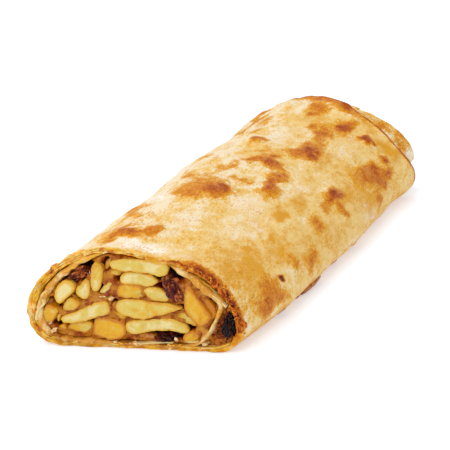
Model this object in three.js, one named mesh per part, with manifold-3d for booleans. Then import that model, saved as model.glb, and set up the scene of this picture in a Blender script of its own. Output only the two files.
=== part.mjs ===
// An apple strudel: one thin sheet of dough rolled round an apple filling and baked.
// The near end is cut across and shows the filling, and the far end is tucked shut.
// Millimetres, +Z up. The roll lies along +Y, with its cut at the low end of Y, and it
// rests on its flat underside. The origin is under the middle of the whole roll.
import * as THREE from "three";
import { mergeVertices } from "three/addons/utils/BufferGeometryUtils.js";
import Module from "manifold-3d";

const wasm = await Module();
wasm.setup();

// ---- Driving dimensions -------------------------------------------------------------

const ROLL_LENGTH = 247; // cut to the tip of the tucked end
const LIP_Y = 227; // where the outer wrap ends, short of the tucked end
const slope = (degrees) => Math.tan(THREE.MathUtils.degToRad(degrees));
const CUT = { skew: slope(16.3), lean: slope(4.5), fadesBy: 70 }; // how the knife went in
const FAR_SKEW = { slope: slope(-6.3), from: 178 }; // of the lip; the tip is square again
const FRAY = 0.6; // how far the torn edge of the dough moves in and out at the cut

// How the baked roll has settled, at equal steps along it: how tall it stands as a share of
// the cut end, how far it leans to +X for each mm of height, and how far it has shifted.
const STATION_STEP = 50;
const STATIONS = [
  { tall: 1, lean: 0, shift: 0 },
  { tall: 1.025, lean: -0.014, shift: 2.9 },
  { tall: 1.032, lean: -0.014, shift: 3.2 },
  { tall: 1.005, lean: -0.028, shift: 2.6 },
  { tall: 0.983, lean: 0.041, shift: 0.5 },
  { tall: 1.037, lean: 0.328, shift: -5 },
];

// A cross-section is a flat floor and four superellipse quarters that meet at the crown,
// at the widest point of each side and at each foot.
const OUTSIDE = {
  left: -45, right: 45, crownX: -12, crownZ: 44.5, floorZ: 0,
  widestLeftZ: 17, widestRightZ: 9, footLeftX: -28.5, footRightX: 36,
  topRight: 1.74, topLeft: 1.71, footLeft: 2.22, footRight: 1.7,
};
// The inner face of the outer wrap: the dough is thickest at the left, where it creased.
const WRAP_INSIDE = {
  ...OUTSIDE,
  left: -41.2, right: 42.6, crownZ: 42.4, floorZ: 1.9,
  footLeftX: -27, footRightX: 35, topLeft: 1.66,
};
// The tucked end, before its inset. Its right foot is drawn in.
const PLUG = {
  ...OUTSIDE, right: 44, crownZ: 40.3, widestRightZ: 13, footRightX: 24, footRight: 1.4,
};
const PLUG_INSET = 2.6; // the tucked end is this much smaller all round than the roll
const PLUG_ROUNDING = 3.5;
const LIP = { thickness: 1.8, depth: 8, flare: 0.3, reach: 22 };
const LIP_EAR = { around: 74, spread: 15, back: 4.5, out: 3 };
// Near the cut the roll bulges at the upper right, measured round from the crown. The inside
// of the outer wrap follows with a share of the bulge.
const BULGE = { around: 43, spread: 27, out: 3.8, insideShare: 0.65, fadesBy: 60 };

// The inner wrap's outer face, anticlockwise from the foot, as x and z. It lies against the
// outer wrap over the top and the floor and turns in on the right, which leaves a pocket.
const INNER_WRAP = [
  [-30, 2], [0, 1], [22.5, 1], [30.5, 6.7], [33.9, 13.9], [35.7, 21.7],
  [30.5, 27], [23.1, 32.6], [12.5, 38.4], [-9.5, 43], [-22.2, 39],
  [-31.3, 31.6], [-37.9, 23.6], [-40.3, 14.4], [-38.2, 6.6],
];
const INNER_WRAP_THICKNESS = 1.7;
const FIT_GAP = 0.35; // between a filling and the dough round it
const LAYER_GAP_DEPTH = 11; // how far in from the cut the layers stand apart
const FILLING = { front: 3.2, back: 214 };
const POCKET = { fromX: 25, topZ: 20.5, front: 2.6, back: 206 };

// The apple slices that the cut shows, by the middle of each slice. Tilt is in degrees,
// anticlockwise; taper thins one end, bow arches the slice, and proud is how far its face
// stands out of the cut.
const SLICES = [
  { x: 0.9, z: 35.6, length: 25.3, thick: 5.4, tilt: -12, taper: 0.1, bow: 0.4, proud: 0.5 },
  { x: 1.5, z: 30.4, length: 16.6, thick: 5.2, tilt: -8, taper: 0.3, bow: 0.9, proud: 0 },
  { x: -15.4, z: 31.3, length: 14.2, thick: 4.8, tilt: 88, taper: 0.1, bow: 0.2, proud: 0.6 },
  { x: -21, z: 25, length: 9.7, thick: 4.7, tilt: 74, taper: -0.2, bow: 0, proud: 0.2 },
  { x: -29.5, z: 23.8, length: 10.3, thick: 7.2, tilt: 52, taper: 0, bow: 0, proud: 0.8 },
  { x: -26.9, z: 16.7, length: 9.3, thick: 6, tilt: 43, taper: 0, bow: 0, proud: -0.8 },
  { x: -19.1, z: 13.8, length: 20.8, thick: 5.4, tilt: 22, taper: 0.15, bow: 0.3, proud: 0.6 },
  { x: -35.2, z: 12.8, length: 10.5, thick: 6.8, tilt: 64, taper: 0, bow: 0, proud: -0.5 },
  { x: -22.3, z: 7.9, length: 10.8, thick: 4.7, tilt: 7, taper: 0, bow: 0, proud: -0.6 },
  { x: -9.6, z: 8.4, length: 14.1, thick: 7.9, tilt: -10, taper: 0, bow: 0, proud: 0.4 },
  { x: 10.1, z: 9.1, length: 25.7, thick: 5.2, tilt: -7, taper: 0.05, bow: 1.3, proud: 0.5 },
  { x: 5.6, z: 17.8, length: 26.8, thick: 6.8, tilt: 0, taper: -0.35, bow: 0.4, proud: 0.9 },
  { x: -2.2, z: 24.8, length: 11.5, thick: 6.3, tilt: -6, taper: 0, bow: 0, proud: 0.1 },
  { x: 8.9, z: 24, length: 12.9, thick: 4.9, tilt: -23, taper: -0.2, bow: 0.4, proud: 0.3 },
  { x: -11.5, z: 26.2, length: 11, thick: 3.6, tilt: 60, taper: 0.1, bow: 0, proud: -0.9 },
  { x: 26.2, z: 19.2, length: 23.4, thick: 7.6, tilt: -59, taper: 0, bow: 0.9, proud: 0.7 },
  { x: 17.5, z: 13.6, length: 17.5, thick: 3.5, tilt: -20, taper: 0.2, bow: 0.8, proud: -1 },
  { x: 23.2, z: 5.6, length: 8.9, thick: 4.7, tilt: 3, taper: 0, bow: 0, proud: -0.4 },
];
const SLICE_DEPTH = 9;
const SLICE_BEVEL = 0.8;
const SLICE_SIDES = 12;
const SLICE_SQUARENESS = 3.2; // a superellipse exponent: 2 is an oval, more is boxier

// The raisins that the cut shows: middle, half sizes along the cut, and tilt in degrees.
const RAISINS = [
  { x: -24, z: 31, halfLong: 3.9, halfShort: 2.9, tilt: 30, front: 2.2 },
  { x: 15.5, z: 26.8, halfLong: 5.3, halfShort: 3.4, tilt: -56, front: 1.2 },
  { x: 12.6, z: 5, halfLong: 4.6, halfShort: 1.7, tilt: -1, front: 1.6 },
  { x: 38.2, z: 11.2, halfLong: 4.7, halfShort: 2.5, tilt: 84, front: 0.8 },
];
const RAISIN_HALF_DEPTH = 3.6;
const RAISIN_SET_BACK = 2; // from a raisin's front mark to its middle
const RAISIN_WRINKLE = 0.07; // as a share of its half size

// Relief of the skin: bubbles that the oven raised, and broad swellings and hollows left by
// the pieces of apple underneath. Along is measured from the cut, around from the crown,
// towards +X; long and wide are half sizes, and a negative height is a hollow.
const RELIEF = [
  { along: 17, around: -4, long: 7, wide: 9, height: 1.5 },
  { along: 26, around: 7, long: 6, wide: 7, height: 1.2 },
  { along: 82, around: 6, long: 16, wide: 14, height: 1.6 },
  { along: 107, around: 29, long: 9, wide: 7, height: 0.9 },
  { along: 123, around: 27, long: 7, wide: 6, height: 0.8 },
  { along: 134, around: 17, long: 10, wide: 10, height: 1.2 },
  { along: 155, around: 3, long: 8, wide: 8, height: 1.2 },
  { along: 165, around: 26, long: 13, wide: 11, height: 0.9 },
  { along: 143, around: 51, long: 9, wide: 7, height: 1.2 },
  { along: 209, around: 41, long: 6, wide: 4, height: 0.8 },
  { along: 203, around: 55, long: 9, wide: 6, height: 0.9 },
  { along: 126, around: -24, long: 22, wide: 16, height: 1.2 },
  { along: 55, around: -22, long: 20, wide: 15, height: 0.7 },
  { along: 211, around: -22, long: 15, wide: 15, height: 1.7 },
  { along: 175, around: -26, long: 16, wide: 16, height: -1 },
  { along: 150, around: 72, long: 26, wide: 16, height: 0.8 },
  { along: 62, around: 66, long: 30, wide: 14, height: 0.7 },
  { along: 66, around: 32, long: 24, wide: 15, height: -0.7 },
  { along: 186, around: -70, long: 26, wide: 16, height: 0.9 },
  { along: 96, around: -74, long: 24, wide: 16, height: 0.8 },
];
const RELIEF_SPREAD = 1.4; // a dome's foot, as a multiple of its half size
const RELIEF_STARTS = { low: 0.2, high: 6 }; // heights between which the relief comes in

const SKIN_SIDES = 52;
const SKIN_STEPS = 37;
const CORE_SIDES = 34;
const CORE_STEPS = 12;

const COLOURS = {
  pastry: 0xe3b26b,
  filling: 0xd9b650,
  pocket: 0x7b4a24,
  raisin: 0x2f1810,
};

// ---- Cross-sections -----------------------------------------------------------------

// Points along one superellipse quarter, from its start at turn 0 to its end at turn 1.
function quarter(count, x, z, radiusX, radiusZ, exponent, startsFlat) {
  const points = [];
  for (let i = 0; i < count; i++) {
    const angle = (Math.PI / 2) * (i / count);
    const rise = Math.pow(Math.sin(angle), 2 / exponent);
    const fall = Math.pow(Math.cos(angle), 2 / exponent);
    points.push(
      startsFlat
        ? new THREE.Vector2(x + radiusX * rise, z + radiusZ * fall)
        : new THREE.Vector2(x + radiusX * fall, z + radiusZ * rise),
    );
  }
  return points;
}

// A closed cross-section, anticlockwise as the cut shows it, from the middle of its floor.
function sectionPoints(s, count) {
  const fine = 60;
  const points = [
    new THREE.Vector2(0, s.floorZ),
    ...quarter(
      fine, s.footRightX, s.widestRightZ, s.right - s.footRightX,
      s.floorZ - s.widestRightZ, s.footRight, true,
    ),
    ...quarter(
      fine, s.crownX, s.widestRightZ, s.right - s.crownX,
      s.crownZ - s.widestRightZ, s.topRight, false,
    ),
    ...quarter(
      fine, s.crownX, s.widestLeftZ, s.left - s.crownX,
      s.crownZ - s.widestLeftZ, s.topLeft, true,
    ),
    ...quarter(
      fine, s.footLeftX, s.widestLeftZ, s.left - s.footLeftX,
      s.floorZ - s.widestLeftZ, s.footLeft, false,
    ),
    new THREE.Vector2(s.footLeftX, s.floorZ),
  ];
  return evenly(points, count);
}

// The same closed outline, as count points at equal steps along it.
function evenly(points, count) {
  const closed = [...points, points[0]];
  const reach = [0];
  for (let i = 1; i < closed.length; i++) {
    reach.push(reach[i - 1] + closed[i].distanceTo(closed[i - 1]));
  }
  const total = reach.at(-1);
  const spaced = [];
  let k = 1;
  for (let i = 0; i < count; i++) {
    const target = (total * i) / count;
    while (reach[k] < target) k++;
    const share = (target - reach[k - 1]) / (reach[k] - reach[k - 1] || 1);
    spaced.push(closed[k - 1].clone().lerp(closed[k], share));
  }
  return spaced;
}

// The outline moved inwards by inset (outwards if it is negative).
function insetPoints(points, inset) {
  return points.map((point, i) => {
    const before = points.at(i - 1);
    const after = points[(i + 1) % points.length];
    const tangent = after.clone().sub(before).normalize();
    return point.clone().add(new THREE.Vector2(-tangent.y, tangent.x).multiplyScalar(inset));
  });
}

function innerWrapPoints() {
  const curve = new THREE.CatmullRomCurve3(
    INNER_WRAP.map(([x, z]) => new THREE.Vector3(x, z, 0)), true, "centripetal",
  );
  const spaced = curve.getSpacedPoints(CORE_SIDES).slice(0, -1);
  return spaced.map((p) => new THREE.Vector2(p.x, p.y));
}

// ---- The skin's relief ----------------------------------------------------------------

const SKIN_TABLE = sectionPoints(OUTSIDE, 480);
const SKIN_PERIMETER = SKIN_TABLE.reduce(
  (sum, point, i) => sum + point.distanceTo(SKIN_TABLE.at(i - 1)), 0,
);
const CROWN_INDEX = SKIN_TABLE.reduce((best, p, i) => (p.y > SKIN_TABLE[best].y ? i : best), 0);

// Where a point of the outline lies: its distance from the crown, positive towards +X, and
// the outward direction there.
function placeOnSkin(x, z) {
  let nearest = 0;
  let shortest = Infinity;
  SKIN_TABLE.forEach((point, i) => {
    const apart = Math.hypot(point.x - x, point.y - z);
    if (apart < shortest) {
      shortest = apart;
      nearest = i;
    }
  });
  const before = SKIN_TABLE.at(nearest - 1);
  const after = SKIN_TABLE[(nearest + 1) % SKIN_TABLE.length];
  const tangent = after.clone().sub(before).normalize();
  return {
    around: ((CROWN_INDEX - nearest) / SKIN_TABLE.length) * SKIN_PERIMETER,
    outX: tangent.y,
    outZ: -tangent.x,
  };
}

// A smooth dome that is 1 in the middle and falls to 0 at distance 1.
const dome = (distance) => (distance < 1 ? (1 - distance * distance) ** 2 : 0);

function reliefHeight(along, around) {
  return RELIEF.reduce((height, r) => {
    const distance = Math.hypot((along - r.along) / r.long, (around - r.around) / r.wide);
    return height + r.height * dome(distance / RELIEF_SPREAD);
  }, 0);
}

function ease(low, high, value) {
  return THREE.MathUtils.smoothstep(value, low, high);
}

// The lip at the far end flares, and one corner of it stands out as an ear.
function lipFlare(y, around) {
  const reach = ease(LIP_Y - LIP.reach, LIP_Y, y);
  const ear = Math.exp(-(((around - LIP_EAR.around) / LIP_EAR.spread) ** 2));
  return { out: reach * (LIP.flare + LIP_EAR.out * ear), back: reach * reach * LIP_EAR.back * ear };
}

function bulgeHeight(y, around) {
  const apart = Math.abs(around - BULGE.around) / BULGE.spread;
  return BULGE.out * dome(apart) * (1 - ease(0, BULGE.fadesBy, y));
}

// Moves each point of a bar out of the roll, and back along it, by what move gives there.
function pushOut(geometry, move) {
  const position = geometry.getAttribute("position");
  for (let i = 0; i < position.count; i++) {
    const x = position.getX(i);
    const y = position.getY(i);
    const z = position.getZ(i);
    const { around, outX, outZ } = placeOnSkin(x, z);
    const { out, back } = move(y, around);
    const offFloor = ease(RELIEF_STARTS.low, RELIEF_STARTS.high, z);
    const rise = out * offFloor;
    position.setXYZ(i, x + outX * rise, y + back * offFloor, z + outZ * rise);
  }
  return geometry;
}

function raiseSkin(geometry) {
  return pushOut(geometry, (y, around) => {
    const flare = lipFlare(y, around);
    const out = reliefHeight(y, around) + bulgeHeight(y, around) + flare.out;
    return { out, back: flare.back };
  });
}

function bulgeInside(geometry) {
  return pushOut(geometry, (y, around) => (
    { out: BULGE.insideShare * bulgeHeight(y, around), back: 0 }
  ));
}

// ---- Solids ---------------------------------------------------------------------------

// The outline as a solid bar along Y, in equal steps from y = from to y = to.
function bar(points, from, to, steps, rounding = 0) {
  const geometry = new THREE.ExtrudeGeometry(new THREE.Shape(points), {
    depth: to - from - 2 * rounding,
    steps,
    bevelEnabled: rounding > 0,
    bevelThickness: rounding,
    bevelSize: rounding,
    bevelOffset: -rounding,
    bevelSegments: 2,
  });
  geometry.rotateX(Math.PI / 2);
  geometry.translate(0, to - rounding, 0);
  return geometry;
}

function solid(straight) {
  const geometry = settle(straight);
  const bare = geometry.index ? geometry.toNonIndexed() : geometry.clone();
  bare.deleteAttribute("normal");
  bare.deleteAttribute("uv");
  const merged = mergeVertices(bare, 1e-4);
  return new wasm.Manifold(
    new wasm.Mesh({
      numProp: 3,
      vertProperties: merged.getAttribute("position").array,
      triVerts: new Uint32Array(merged.index.array),
    }),
  );
}

function largestPiece(shape) {
  return shape.decompose().reduce((best, s) => (s.volume() > best.volume() ? s : best));
}

const skinOutline = sectionPoints(OUTSIDE, SKIN_SIDES);
const wrapOutline = sectionPoints(WRAP_INSIDE, CORE_SIDES * 2);
const plugOutline = insetPoints(sectionPoints(PLUG, CORE_SIDES), PLUG_INSET);
const bandOutline = innerWrapPoints();
const bandInside = insetPoints(bandOutline, INNER_WRAP_THICKNESS);
const fillingOutline = insetPoints(bandInside, FIT_GAP);

// The space between the two wraps, for one stretch of the roll.
function betweenWraps(from, to, gap) {
  const outer = solid(bulgeInside(bar(insetPoints(wrapOutline, gap), from, to, CORE_STEPS)));
  const inner = solid(bar(insetPoints(bandOutline, -gap), from - 1, to + 1, CORE_STEPS));
  return outer.subtract(inner);
}

// Keeps the part of a shape inside the pocket's corner of the cross-section.
function inPocket(shape, margin) {
  const size = new THREE.Vector3(40, ROLL_LENGTH + 20, 60);
  const corner = new THREE.BoxGeometry(size.x, size.y, size.z, 1, CORE_STEPS, 1);
  corner.translate(
    POCKET.fromX + margin + size.x / 2, ROLL_LENGTH / 2, POCKET.topZ - margin - size.z / 2,
  );
  return largestPiece(shape.intersect(solid(corner)));
}

function makePastry() {
  const skin = solid(raiseSkin(bar(skinOutline, 0, LIP_Y, SKIN_STEPS)));
  const plug = solid(bar(plugOutline, LIP_Y - 30, ROLL_LENGTH, 4, PLUG_ROUNDING));
  const groove = solid(
    bar(insetPoints(skinOutline, LIP.thickness), LIP_Y - LIP.depth, ROLL_LENGTH, 2),
  );
  const fillingSpace = solid(bar(bandInside, -2, FILLING.back + FIT_GAP, CORE_STEPS));
  const pocketSpace = inPocket(betweenWraps(-2, POCKET.back + FIT_GAP, 0), 0);
  const layerGaps = betweenWraps(-2, LAYER_GAP_DEPTH, 0);
  return largestPiece(
    skin.subtract(groove).add(plug).subtract(fillingSpace).subtract(pocketSpace)
      .subtract(layerGaps),
  );
}

// One slice of apple, as the cut shows it: a bowed, tapered, rounded bar.
function appleSlice(slice) {
  const points = [];
  for (let i = 0; i < SLICE_SIDES; i++) {
    const angle = (2 * Math.PI * i) / SLICE_SIDES;
    const along = signedPower(Math.cos(angle), 2 / SLICE_SQUARENESS);
    const across = signedPower(Math.sin(angle), 2 / SLICE_SQUARENESS);
    const x = (along * slice.length) / 2;
    const z = (across * slice.thick * (1 + slice.taper * along)) / 2;
    points.push(new THREE.Vector2(x, z + slice.bow * (1 - along * along)));
  }
  const turn = THREE.MathUtils.degToRad(slice.tilt);
  const placed = points.map((p) =>
    p.rotateAround(new THREE.Vector2(), turn).add(new THREE.Vector2(slice.x, slice.z)),
  );
  return solid(bar(placed, -slice.proud, SLICE_DEPTH, 1, SLICE_BEVEL));
}

function signedPower(value, exponent) {
  return Math.sign(value) * Math.pow(Math.abs(value), exponent);
}

// A raisin: an oval pip with lengthwise wrinkles. Grow makes the hollow that it sits in.
function raisin(r, grow) {
  const geometry = new THREE.SphereGeometry(1, 12, 8);
  const position = geometry.getAttribute("position");
  for (let i = 0; i < position.count; i++) {
    const direction = new THREE.Vector3().fromBufferAttribute(position, i);
    const meridian = Math.atan2(direction.z, direction.y);
    const fold = Math.sin(4 * meridian + r.x) * (1 - direction.x ** 2);
    const wrinkle = 1 + RAISIN_WRINKLE * fold;
    position.setXYZ(
      i,
      direction.x * (r.halfLong * wrinkle + grow),
      direction.y * (RAISIN_HALF_DEPTH * wrinkle + grow),
      direction.z * (r.halfShort * wrinkle + grow),
    );
  }
  geometry.rotateY(-THREE.MathUtils.degToRad(r.tilt));
  geometry.translate(r.x, r.front + RAISIN_SET_BACK, r.z);
  return solid(geometry);
}

function hollowForRaisins(shape) {
  return RAISINS.reduce((rest, r) => rest.subtract(raisin(r, FIT_GAP)), shape);
}

function makeFilling() {
  const core = solid(bar(fillingOutline, FILLING.front, FILLING.back, CORE_STEPS));
  const reach = solid(bar(fillingOutline, -3, SLICE_DEPTH + 1, 1));
  const slices = SLICES.map(appleSlice).reduce((all, slice) => all.add(slice));
  return largestPiece(hollowForRaisins(core.add(slices.intersect(reach))));
}

function makePocketFilling() {
  const packed = betweenWraps(POCKET.front, POCKET.back, FIT_GAP);
  return largestPiece(hollowForRaisins(inPocket(packed, FIT_GAP)));
}

// ---- Settling the straight roll into its baked form -------------------------------------

// A smooth curve through one column of the stations, read at any y.
function stationValue(column, y) {
  const last = STATIONS.length - 1;
  const place = THREE.MathUtils.clamp(y / STATION_STEP, 0, last);
  const before = Math.min(Math.floor(place), last - 1);
  const [p0, p1, p2, p3] = [-1, 0, 1, 2].map(
    (i) => STATIONS[THREE.MathUtils.clamp(before + i, 0, last)][column],
  );
  const t = place - before;
  const bend = (2 * p0 - 5 * p1 + 4 * p2 - p3) * t * t + (3 * p1 - p0 - 3 * p2 + p3) * t * t * t;
  return p1 + ((p2 - p0) * t + bend) / 2;
}

// Every solid is put through this one smooth map before it is cut or joined, so the gaps
// between them stay.
function settle(geometry) {
  const position = geometry.getAttribute("position");
  for (let i = 0; i < position.count; i++) {
    const x = position.getX(i);
    const y = position.getY(i);
    const z = position.getZ(i);
    const cut = (CUT.skew * x + CUT.lean * z) * THREE.MathUtils.clamp(1 - y / CUT.fadesBy, 0, 1);
    const skewed = ease(FAR_SKEW.from, LIP_Y, y) - ease(LIP_Y, ROLL_LENGTH, y);
    position.setXYZ(
      i,
      x + z * stationValue("lean", y) + stationValue("shift", y),
      y + cut + FAR_SKEW.slope * x * skewed,
      z * stationValue("tall", y),
    );
  }
  return geometry;
}

// The dough tears a little as it is cut: points on the cut move in and out.
function fray(geometry) {
  const position = geometry.getAttribute("position");
  for (let i = 0; i < position.count; i++) {
    const x = position.getX(i);
    const y = position.getY(i);
    const z = position.getZ(i);
    if (Math.abs(y - CUT.skew * x - CUT.lean * z) > 0.02) continue;
    const coarse = Math.sin(0.5 * x + 0.35 * z);
    const fine = Math.sin(0.9 * x - 0.8 * z);
    position.setY(i, y + FRAY * (0.6 * coarse + 0.4 * fine));
  }
  return geometry;
}

// ---- The scene graph --------------------------------------------------------------------

function meshOf(name, shape, colour, roughness) {
  const { vertProperties, triVerts } = shape.getMesh();
  const geometry = new THREE.BufferGeometry();
  geometry.setAttribute("position", new THREE.BufferAttribute(new Float32Array(vertProperties), 3));
  geometry.setIndex(new THREE.BufferAttribute(new Uint32Array(triVerts), 1));
  if (name === "pastry") fray(geometry);
  geometry.computeVertexNormals();
  const material = new THREE.MeshStandardMaterial({ color: colour, roughness, metalness: 0 });
  const mesh = new THREE.Mesh(geometry, material);
  mesh.name = name;
  return mesh;
}

const strudel = new THREE.Group();
strudel.add(
  meshOf("pastry", makePastry(), COLOURS.pastry, 0.6),
  meshOf("apple_filling", makeFilling(), COLOURS.filling, 0.35),
  meshOf("pocket_filling", makePocketFilling(), COLOURS.pocket, 0.5),
);
RAISINS.forEach((r, i) => {
  strudel.add(meshOf(`raisin_${i + 1}`, raisin(r, 0), COLOURS.raisin, 0.3));
});

// The origin goes under the middle of the roll, at the height of its underside.
const bounds = new THREE.Box3().setFromObject(strudel, true);
const middle = bounds.getCenter(new THREE.Vector3());
strudel.position.set(-middle.x, -middle.y, -bounds.min.z);

export default strudel;
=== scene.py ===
# %% [markdown]
# # A baked apple strudel, cut open
# A strudel is one thin sheet of dough rolled round a filling of apple, raisins and
# cinnamon, and baked until it blisters brown. This lesson dresses a plain solid of it:
# the solid comes in as a fixed frame, and every piece is made in that frame, in metres.

# %% Load the solids
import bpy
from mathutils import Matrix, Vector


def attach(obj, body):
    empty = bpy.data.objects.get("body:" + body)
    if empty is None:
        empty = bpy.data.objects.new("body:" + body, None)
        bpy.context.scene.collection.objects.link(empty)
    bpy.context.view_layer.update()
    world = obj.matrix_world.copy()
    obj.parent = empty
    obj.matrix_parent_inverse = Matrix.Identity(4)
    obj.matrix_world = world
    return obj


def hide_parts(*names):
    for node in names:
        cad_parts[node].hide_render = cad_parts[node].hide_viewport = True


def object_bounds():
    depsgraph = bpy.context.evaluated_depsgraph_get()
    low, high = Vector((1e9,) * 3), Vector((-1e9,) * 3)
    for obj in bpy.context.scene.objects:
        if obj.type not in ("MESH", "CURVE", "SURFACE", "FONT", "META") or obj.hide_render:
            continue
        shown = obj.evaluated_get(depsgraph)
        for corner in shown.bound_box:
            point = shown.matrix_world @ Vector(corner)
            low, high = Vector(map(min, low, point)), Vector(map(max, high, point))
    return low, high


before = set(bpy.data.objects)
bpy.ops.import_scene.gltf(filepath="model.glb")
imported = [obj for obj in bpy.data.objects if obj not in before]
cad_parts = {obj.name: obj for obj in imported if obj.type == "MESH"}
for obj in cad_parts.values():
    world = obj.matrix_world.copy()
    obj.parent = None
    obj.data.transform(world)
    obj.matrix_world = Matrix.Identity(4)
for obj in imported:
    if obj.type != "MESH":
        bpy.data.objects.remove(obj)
cad_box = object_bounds()
print("solids:", sorted(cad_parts))

# %% [markdown]
# ## Working in the roll's own axes
# A baked roll is never straight: it sags, leans and was cut at a slant. Shaping it bent
# would be hard, so every piece is shaped on a straight roll, in millimetres, and one
# smooth map, the same as the solids went through, settles it into its baked form. In the
# straight roll the cut is at y = 0, x runs across it and z is the height.

# %% The settling map
import bpy
import math
import numpy as np
from mathutils import Matrix, Vector
from mathutils.kdtree import KDTree

MM = 0.001
CUT_SKEW = math.tan(math.radians(16.3))
CUT_LEAN = math.tan(math.radians(4.5))
CUT_FADES_BY = 70
FAR_SKEW = -math.tan(math.radians(6.3))
FAR_SKEW_FROM = 178
LIP_Y = 227  # where the outer wrap ends, short of the tucked end
ROLL_LENGTH = 247
STATION_STEP = 50  # between the places where the baked roll was measured
TALL = [1, 1.025, 1.032, 1.005, 0.983, 1.037]
LEAN = [0, -0.014, -0.014, -0.028, 0.041, 0.328]
SHIFT = [0, 2.9, 3.2, 2.6, 0.5, -5]
FRAME_ORIGIN = np.array([1.754, 117.455, 0])  # the frame's origin in the roll's own axes


def curve_between(p0, p1, p2, p3, t):
    """From p1 to p2 at shares t, on the smooth curve that passes all four."""
    bend = (2 * p0 - 5 * p1 + 4 * p2 - p3) * t**2 + (3 * p1 - p0 - 3 * p2 + p3) * t**3
    return p1 + ((p2 - p0) * t + bend) / 2


def along_stations(values, y):
    """A smooth curve through the measured values, read at any y."""
    values = np.array(values, float)
    place = np.clip(np.asarray(y, float) / STATION_STEP, 0, len(values) - 1)
    i = np.minimum(place.astype(int), len(values) - 2)
    before, after = np.maximum(i - 1, 0), np.minimum(i + 2, len(values) - 1)
    return curve_between(values[before], values[i], values[i + 1], values[after], place - i)


def ease(low, high, value):
    """0 up to low, 1 from high on, and smooth between; low may be the greater."""
    t = np.clip((value - low) / (high - low), 0, 1)
    return t * t * (3 - 2 * t)


def settle(points):
    """Points of the straight roll, in mm, to where they lie in the frame, in metres."""
    x, y, z = np.asarray(points, float).reshape(-1, 3).T
    cut = (CUT_SKEW * x + CUT_LEAN * z) * np.clip(1 - y / CUT_FADES_BY, 0, 1)
    skewed = ease(FAR_SKEW_FROM, LIP_Y, y) - ease(LIP_Y, ROLL_LENGTH, y)
    settled = np.stack([
        x + z * along_stations(LEAN, y) + along_stations(SHIFT, y),
        y + cut + FAR_SKEW * x * skewed,
        z * along_stations(TALL, y),
    ], axis=1)
    return (settled - FRAME_ORIGIN) * MM


print("a point 20 mm up on the cut lies at", settle([(0, 0, 20)])[0].round(4).tolist())

# %% [markdown]
# ## Lumps and wrinkles
# Nothing that comes out of an oven is smooth. Gradient noise gives soft lumps of a chosen
# size, and folding it (one minus its absolute value) gives creases. It is written out here
# with numpy because a mesh of many thousand points is then shaped in a moment.

# %% Noise
dice = np.random.default_rng(11)
SHUFFLE = dice.permutation(256)
SLOPES = dice.normal(size=(256, 3))
SLOPES /= np.linalg.norm(SLOPES, axis=1, keepdims=True)


def lumps(points, size, seed=0):
    """Soft lumps from about -1 to 1; size is the distance from one to the next, in mm."""
    p = np.asarray(points, float) / size + 19.37 * seed + 0.5
    cell = np.floor(p).astype(int)
    f = p - cell
    u = f**3 * (f * (f * 6 - 15) + 10)
    total = np.zeros(len(p))
    for corner in np.ndindex(2, 2, 2):
        c = (cell + corner) & 255
        key = SHUFFLE[(SHUFFLE[(SHUFFLE[c[:, 0]] + c[:, 1]) & 255] + c[:, 2]) & 255]
        weight = np.prod(np.where(corner, u, 1 - u), axis=1)
        total += weight * np.einsum("ij,ij->i", SLOPES[key], f - corner)
    return 1.6 * total


def crumple(points, size, seed=0, layers=3):
    """Lumps with smaller lumps on them."""
    return sum(lumps(points, size / 2**k, seed + k) / 2**k for k in range(layers))


def creases(points, size, seed=0):
    """1 along the creases, falling away on both sides."""
    return np.clip(1 - 2.2 * np.abs(lumps(points, size, seed)), 0, 1) ** 2


trial = lumps(np.random.default_rng(0).uniform(0, 100, (2000, 3)), 10)
print(f"lumps lie between {trial.min():.2f} and {trial.max():.2f}")

# %% [markdown]
# ## Making a piece
# Every piece is a closed skin of faces that look outwards. Two kinds cover all of this
# object: a stack of rings, for what is long or runs all round, and a block whose surface
# is a grid, for lumps. The volume tells which way the faces look: if it comes out
# negative, they are turned round.

# %% Rings and blocks
def stack_faces(rows, columns, joined):
    """Quads between rows of a ring stack; joined closes the last row to the first."""
    last = rows if joined else rows - 1
    i, j = np.meshgrid(np.arange(last), np.arange(columns), indexing="ij")
    a = i * columns + j
    b = i * columns + (j + 1) % columns
    c = (i + 1) % rows * columns + (j + 1) % columns
    d = (i + 1) % rows * columns + j
    return np.stack([a, b, c, d], axis=-1).reshape(-1, 4).tolist()


def capped(rings):
    """Rings with both ends closed by a fan, as points and faces."""
    rows, columns = rings.shape[:2]
    middles = rings[[0, -1]].mean(axis=1)
    points = np.concatenate([rings.reshape(-1, 3), middles])
    faces = stack_faces(rows, columns, False)
    end, first, last = (rows - 1) * columns, rows * columns, rows * columns + 1
    for j in range(columns):
        k = (j + 1) % columns
        faces.append([k, j, first])
        faces.append([end + j, end + k, last])
    return points, faces


def block(*steps):
    """The surface of a cube from -1 to 1 as a grid with those steps, as points and faces."""
    number, points, faces = {}, [], []

    def corner(index):
        if index not in number:
            number[index] = len(points)
            points.append([2 * i / n - 1 for i, n in zip(index, steps)])
        return number[index]

    for axis in range(3):
        u, v = [k for k in range(3) if k != axis]
        for side in (0, steps[axis]):
            for i in range(steps[u]):
                for j in range(steps[v]):
                    quad = []
                    for di, dj in ((0, 0), (1, 0), (1, 1), (0, 1)):
                        index = [0, 0, 0]
                        index[axis], index[u], index[v] = side, i + di, j + dj
                        quad.append(corner(tuple(index)))
                    looks_out = (side > 0) == (axis != 1)
                    faces.append(quad if looks_out else quad[::-1])
    return np.array(points), faces


print("a block of 2 by 2 by 2 steps has", len(block(2, 2, 2)[1]), "faces")


# %% Pieces
def volume(points, faces):
    """The volume that the faces enclose, below 0 if they look inwards."""
    triangles = np.array([(f[0], f[i], f[i + 1]) for f in faces for i in range(1, len(f) - 1)])
    a, b, c = points[triangles[:, 0]], points[triangles[:, 1]], points[triangles[:, 2]]
    return np.einsum("ij,ij->i", a, np.cross(b, c)).sum() / 6


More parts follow.
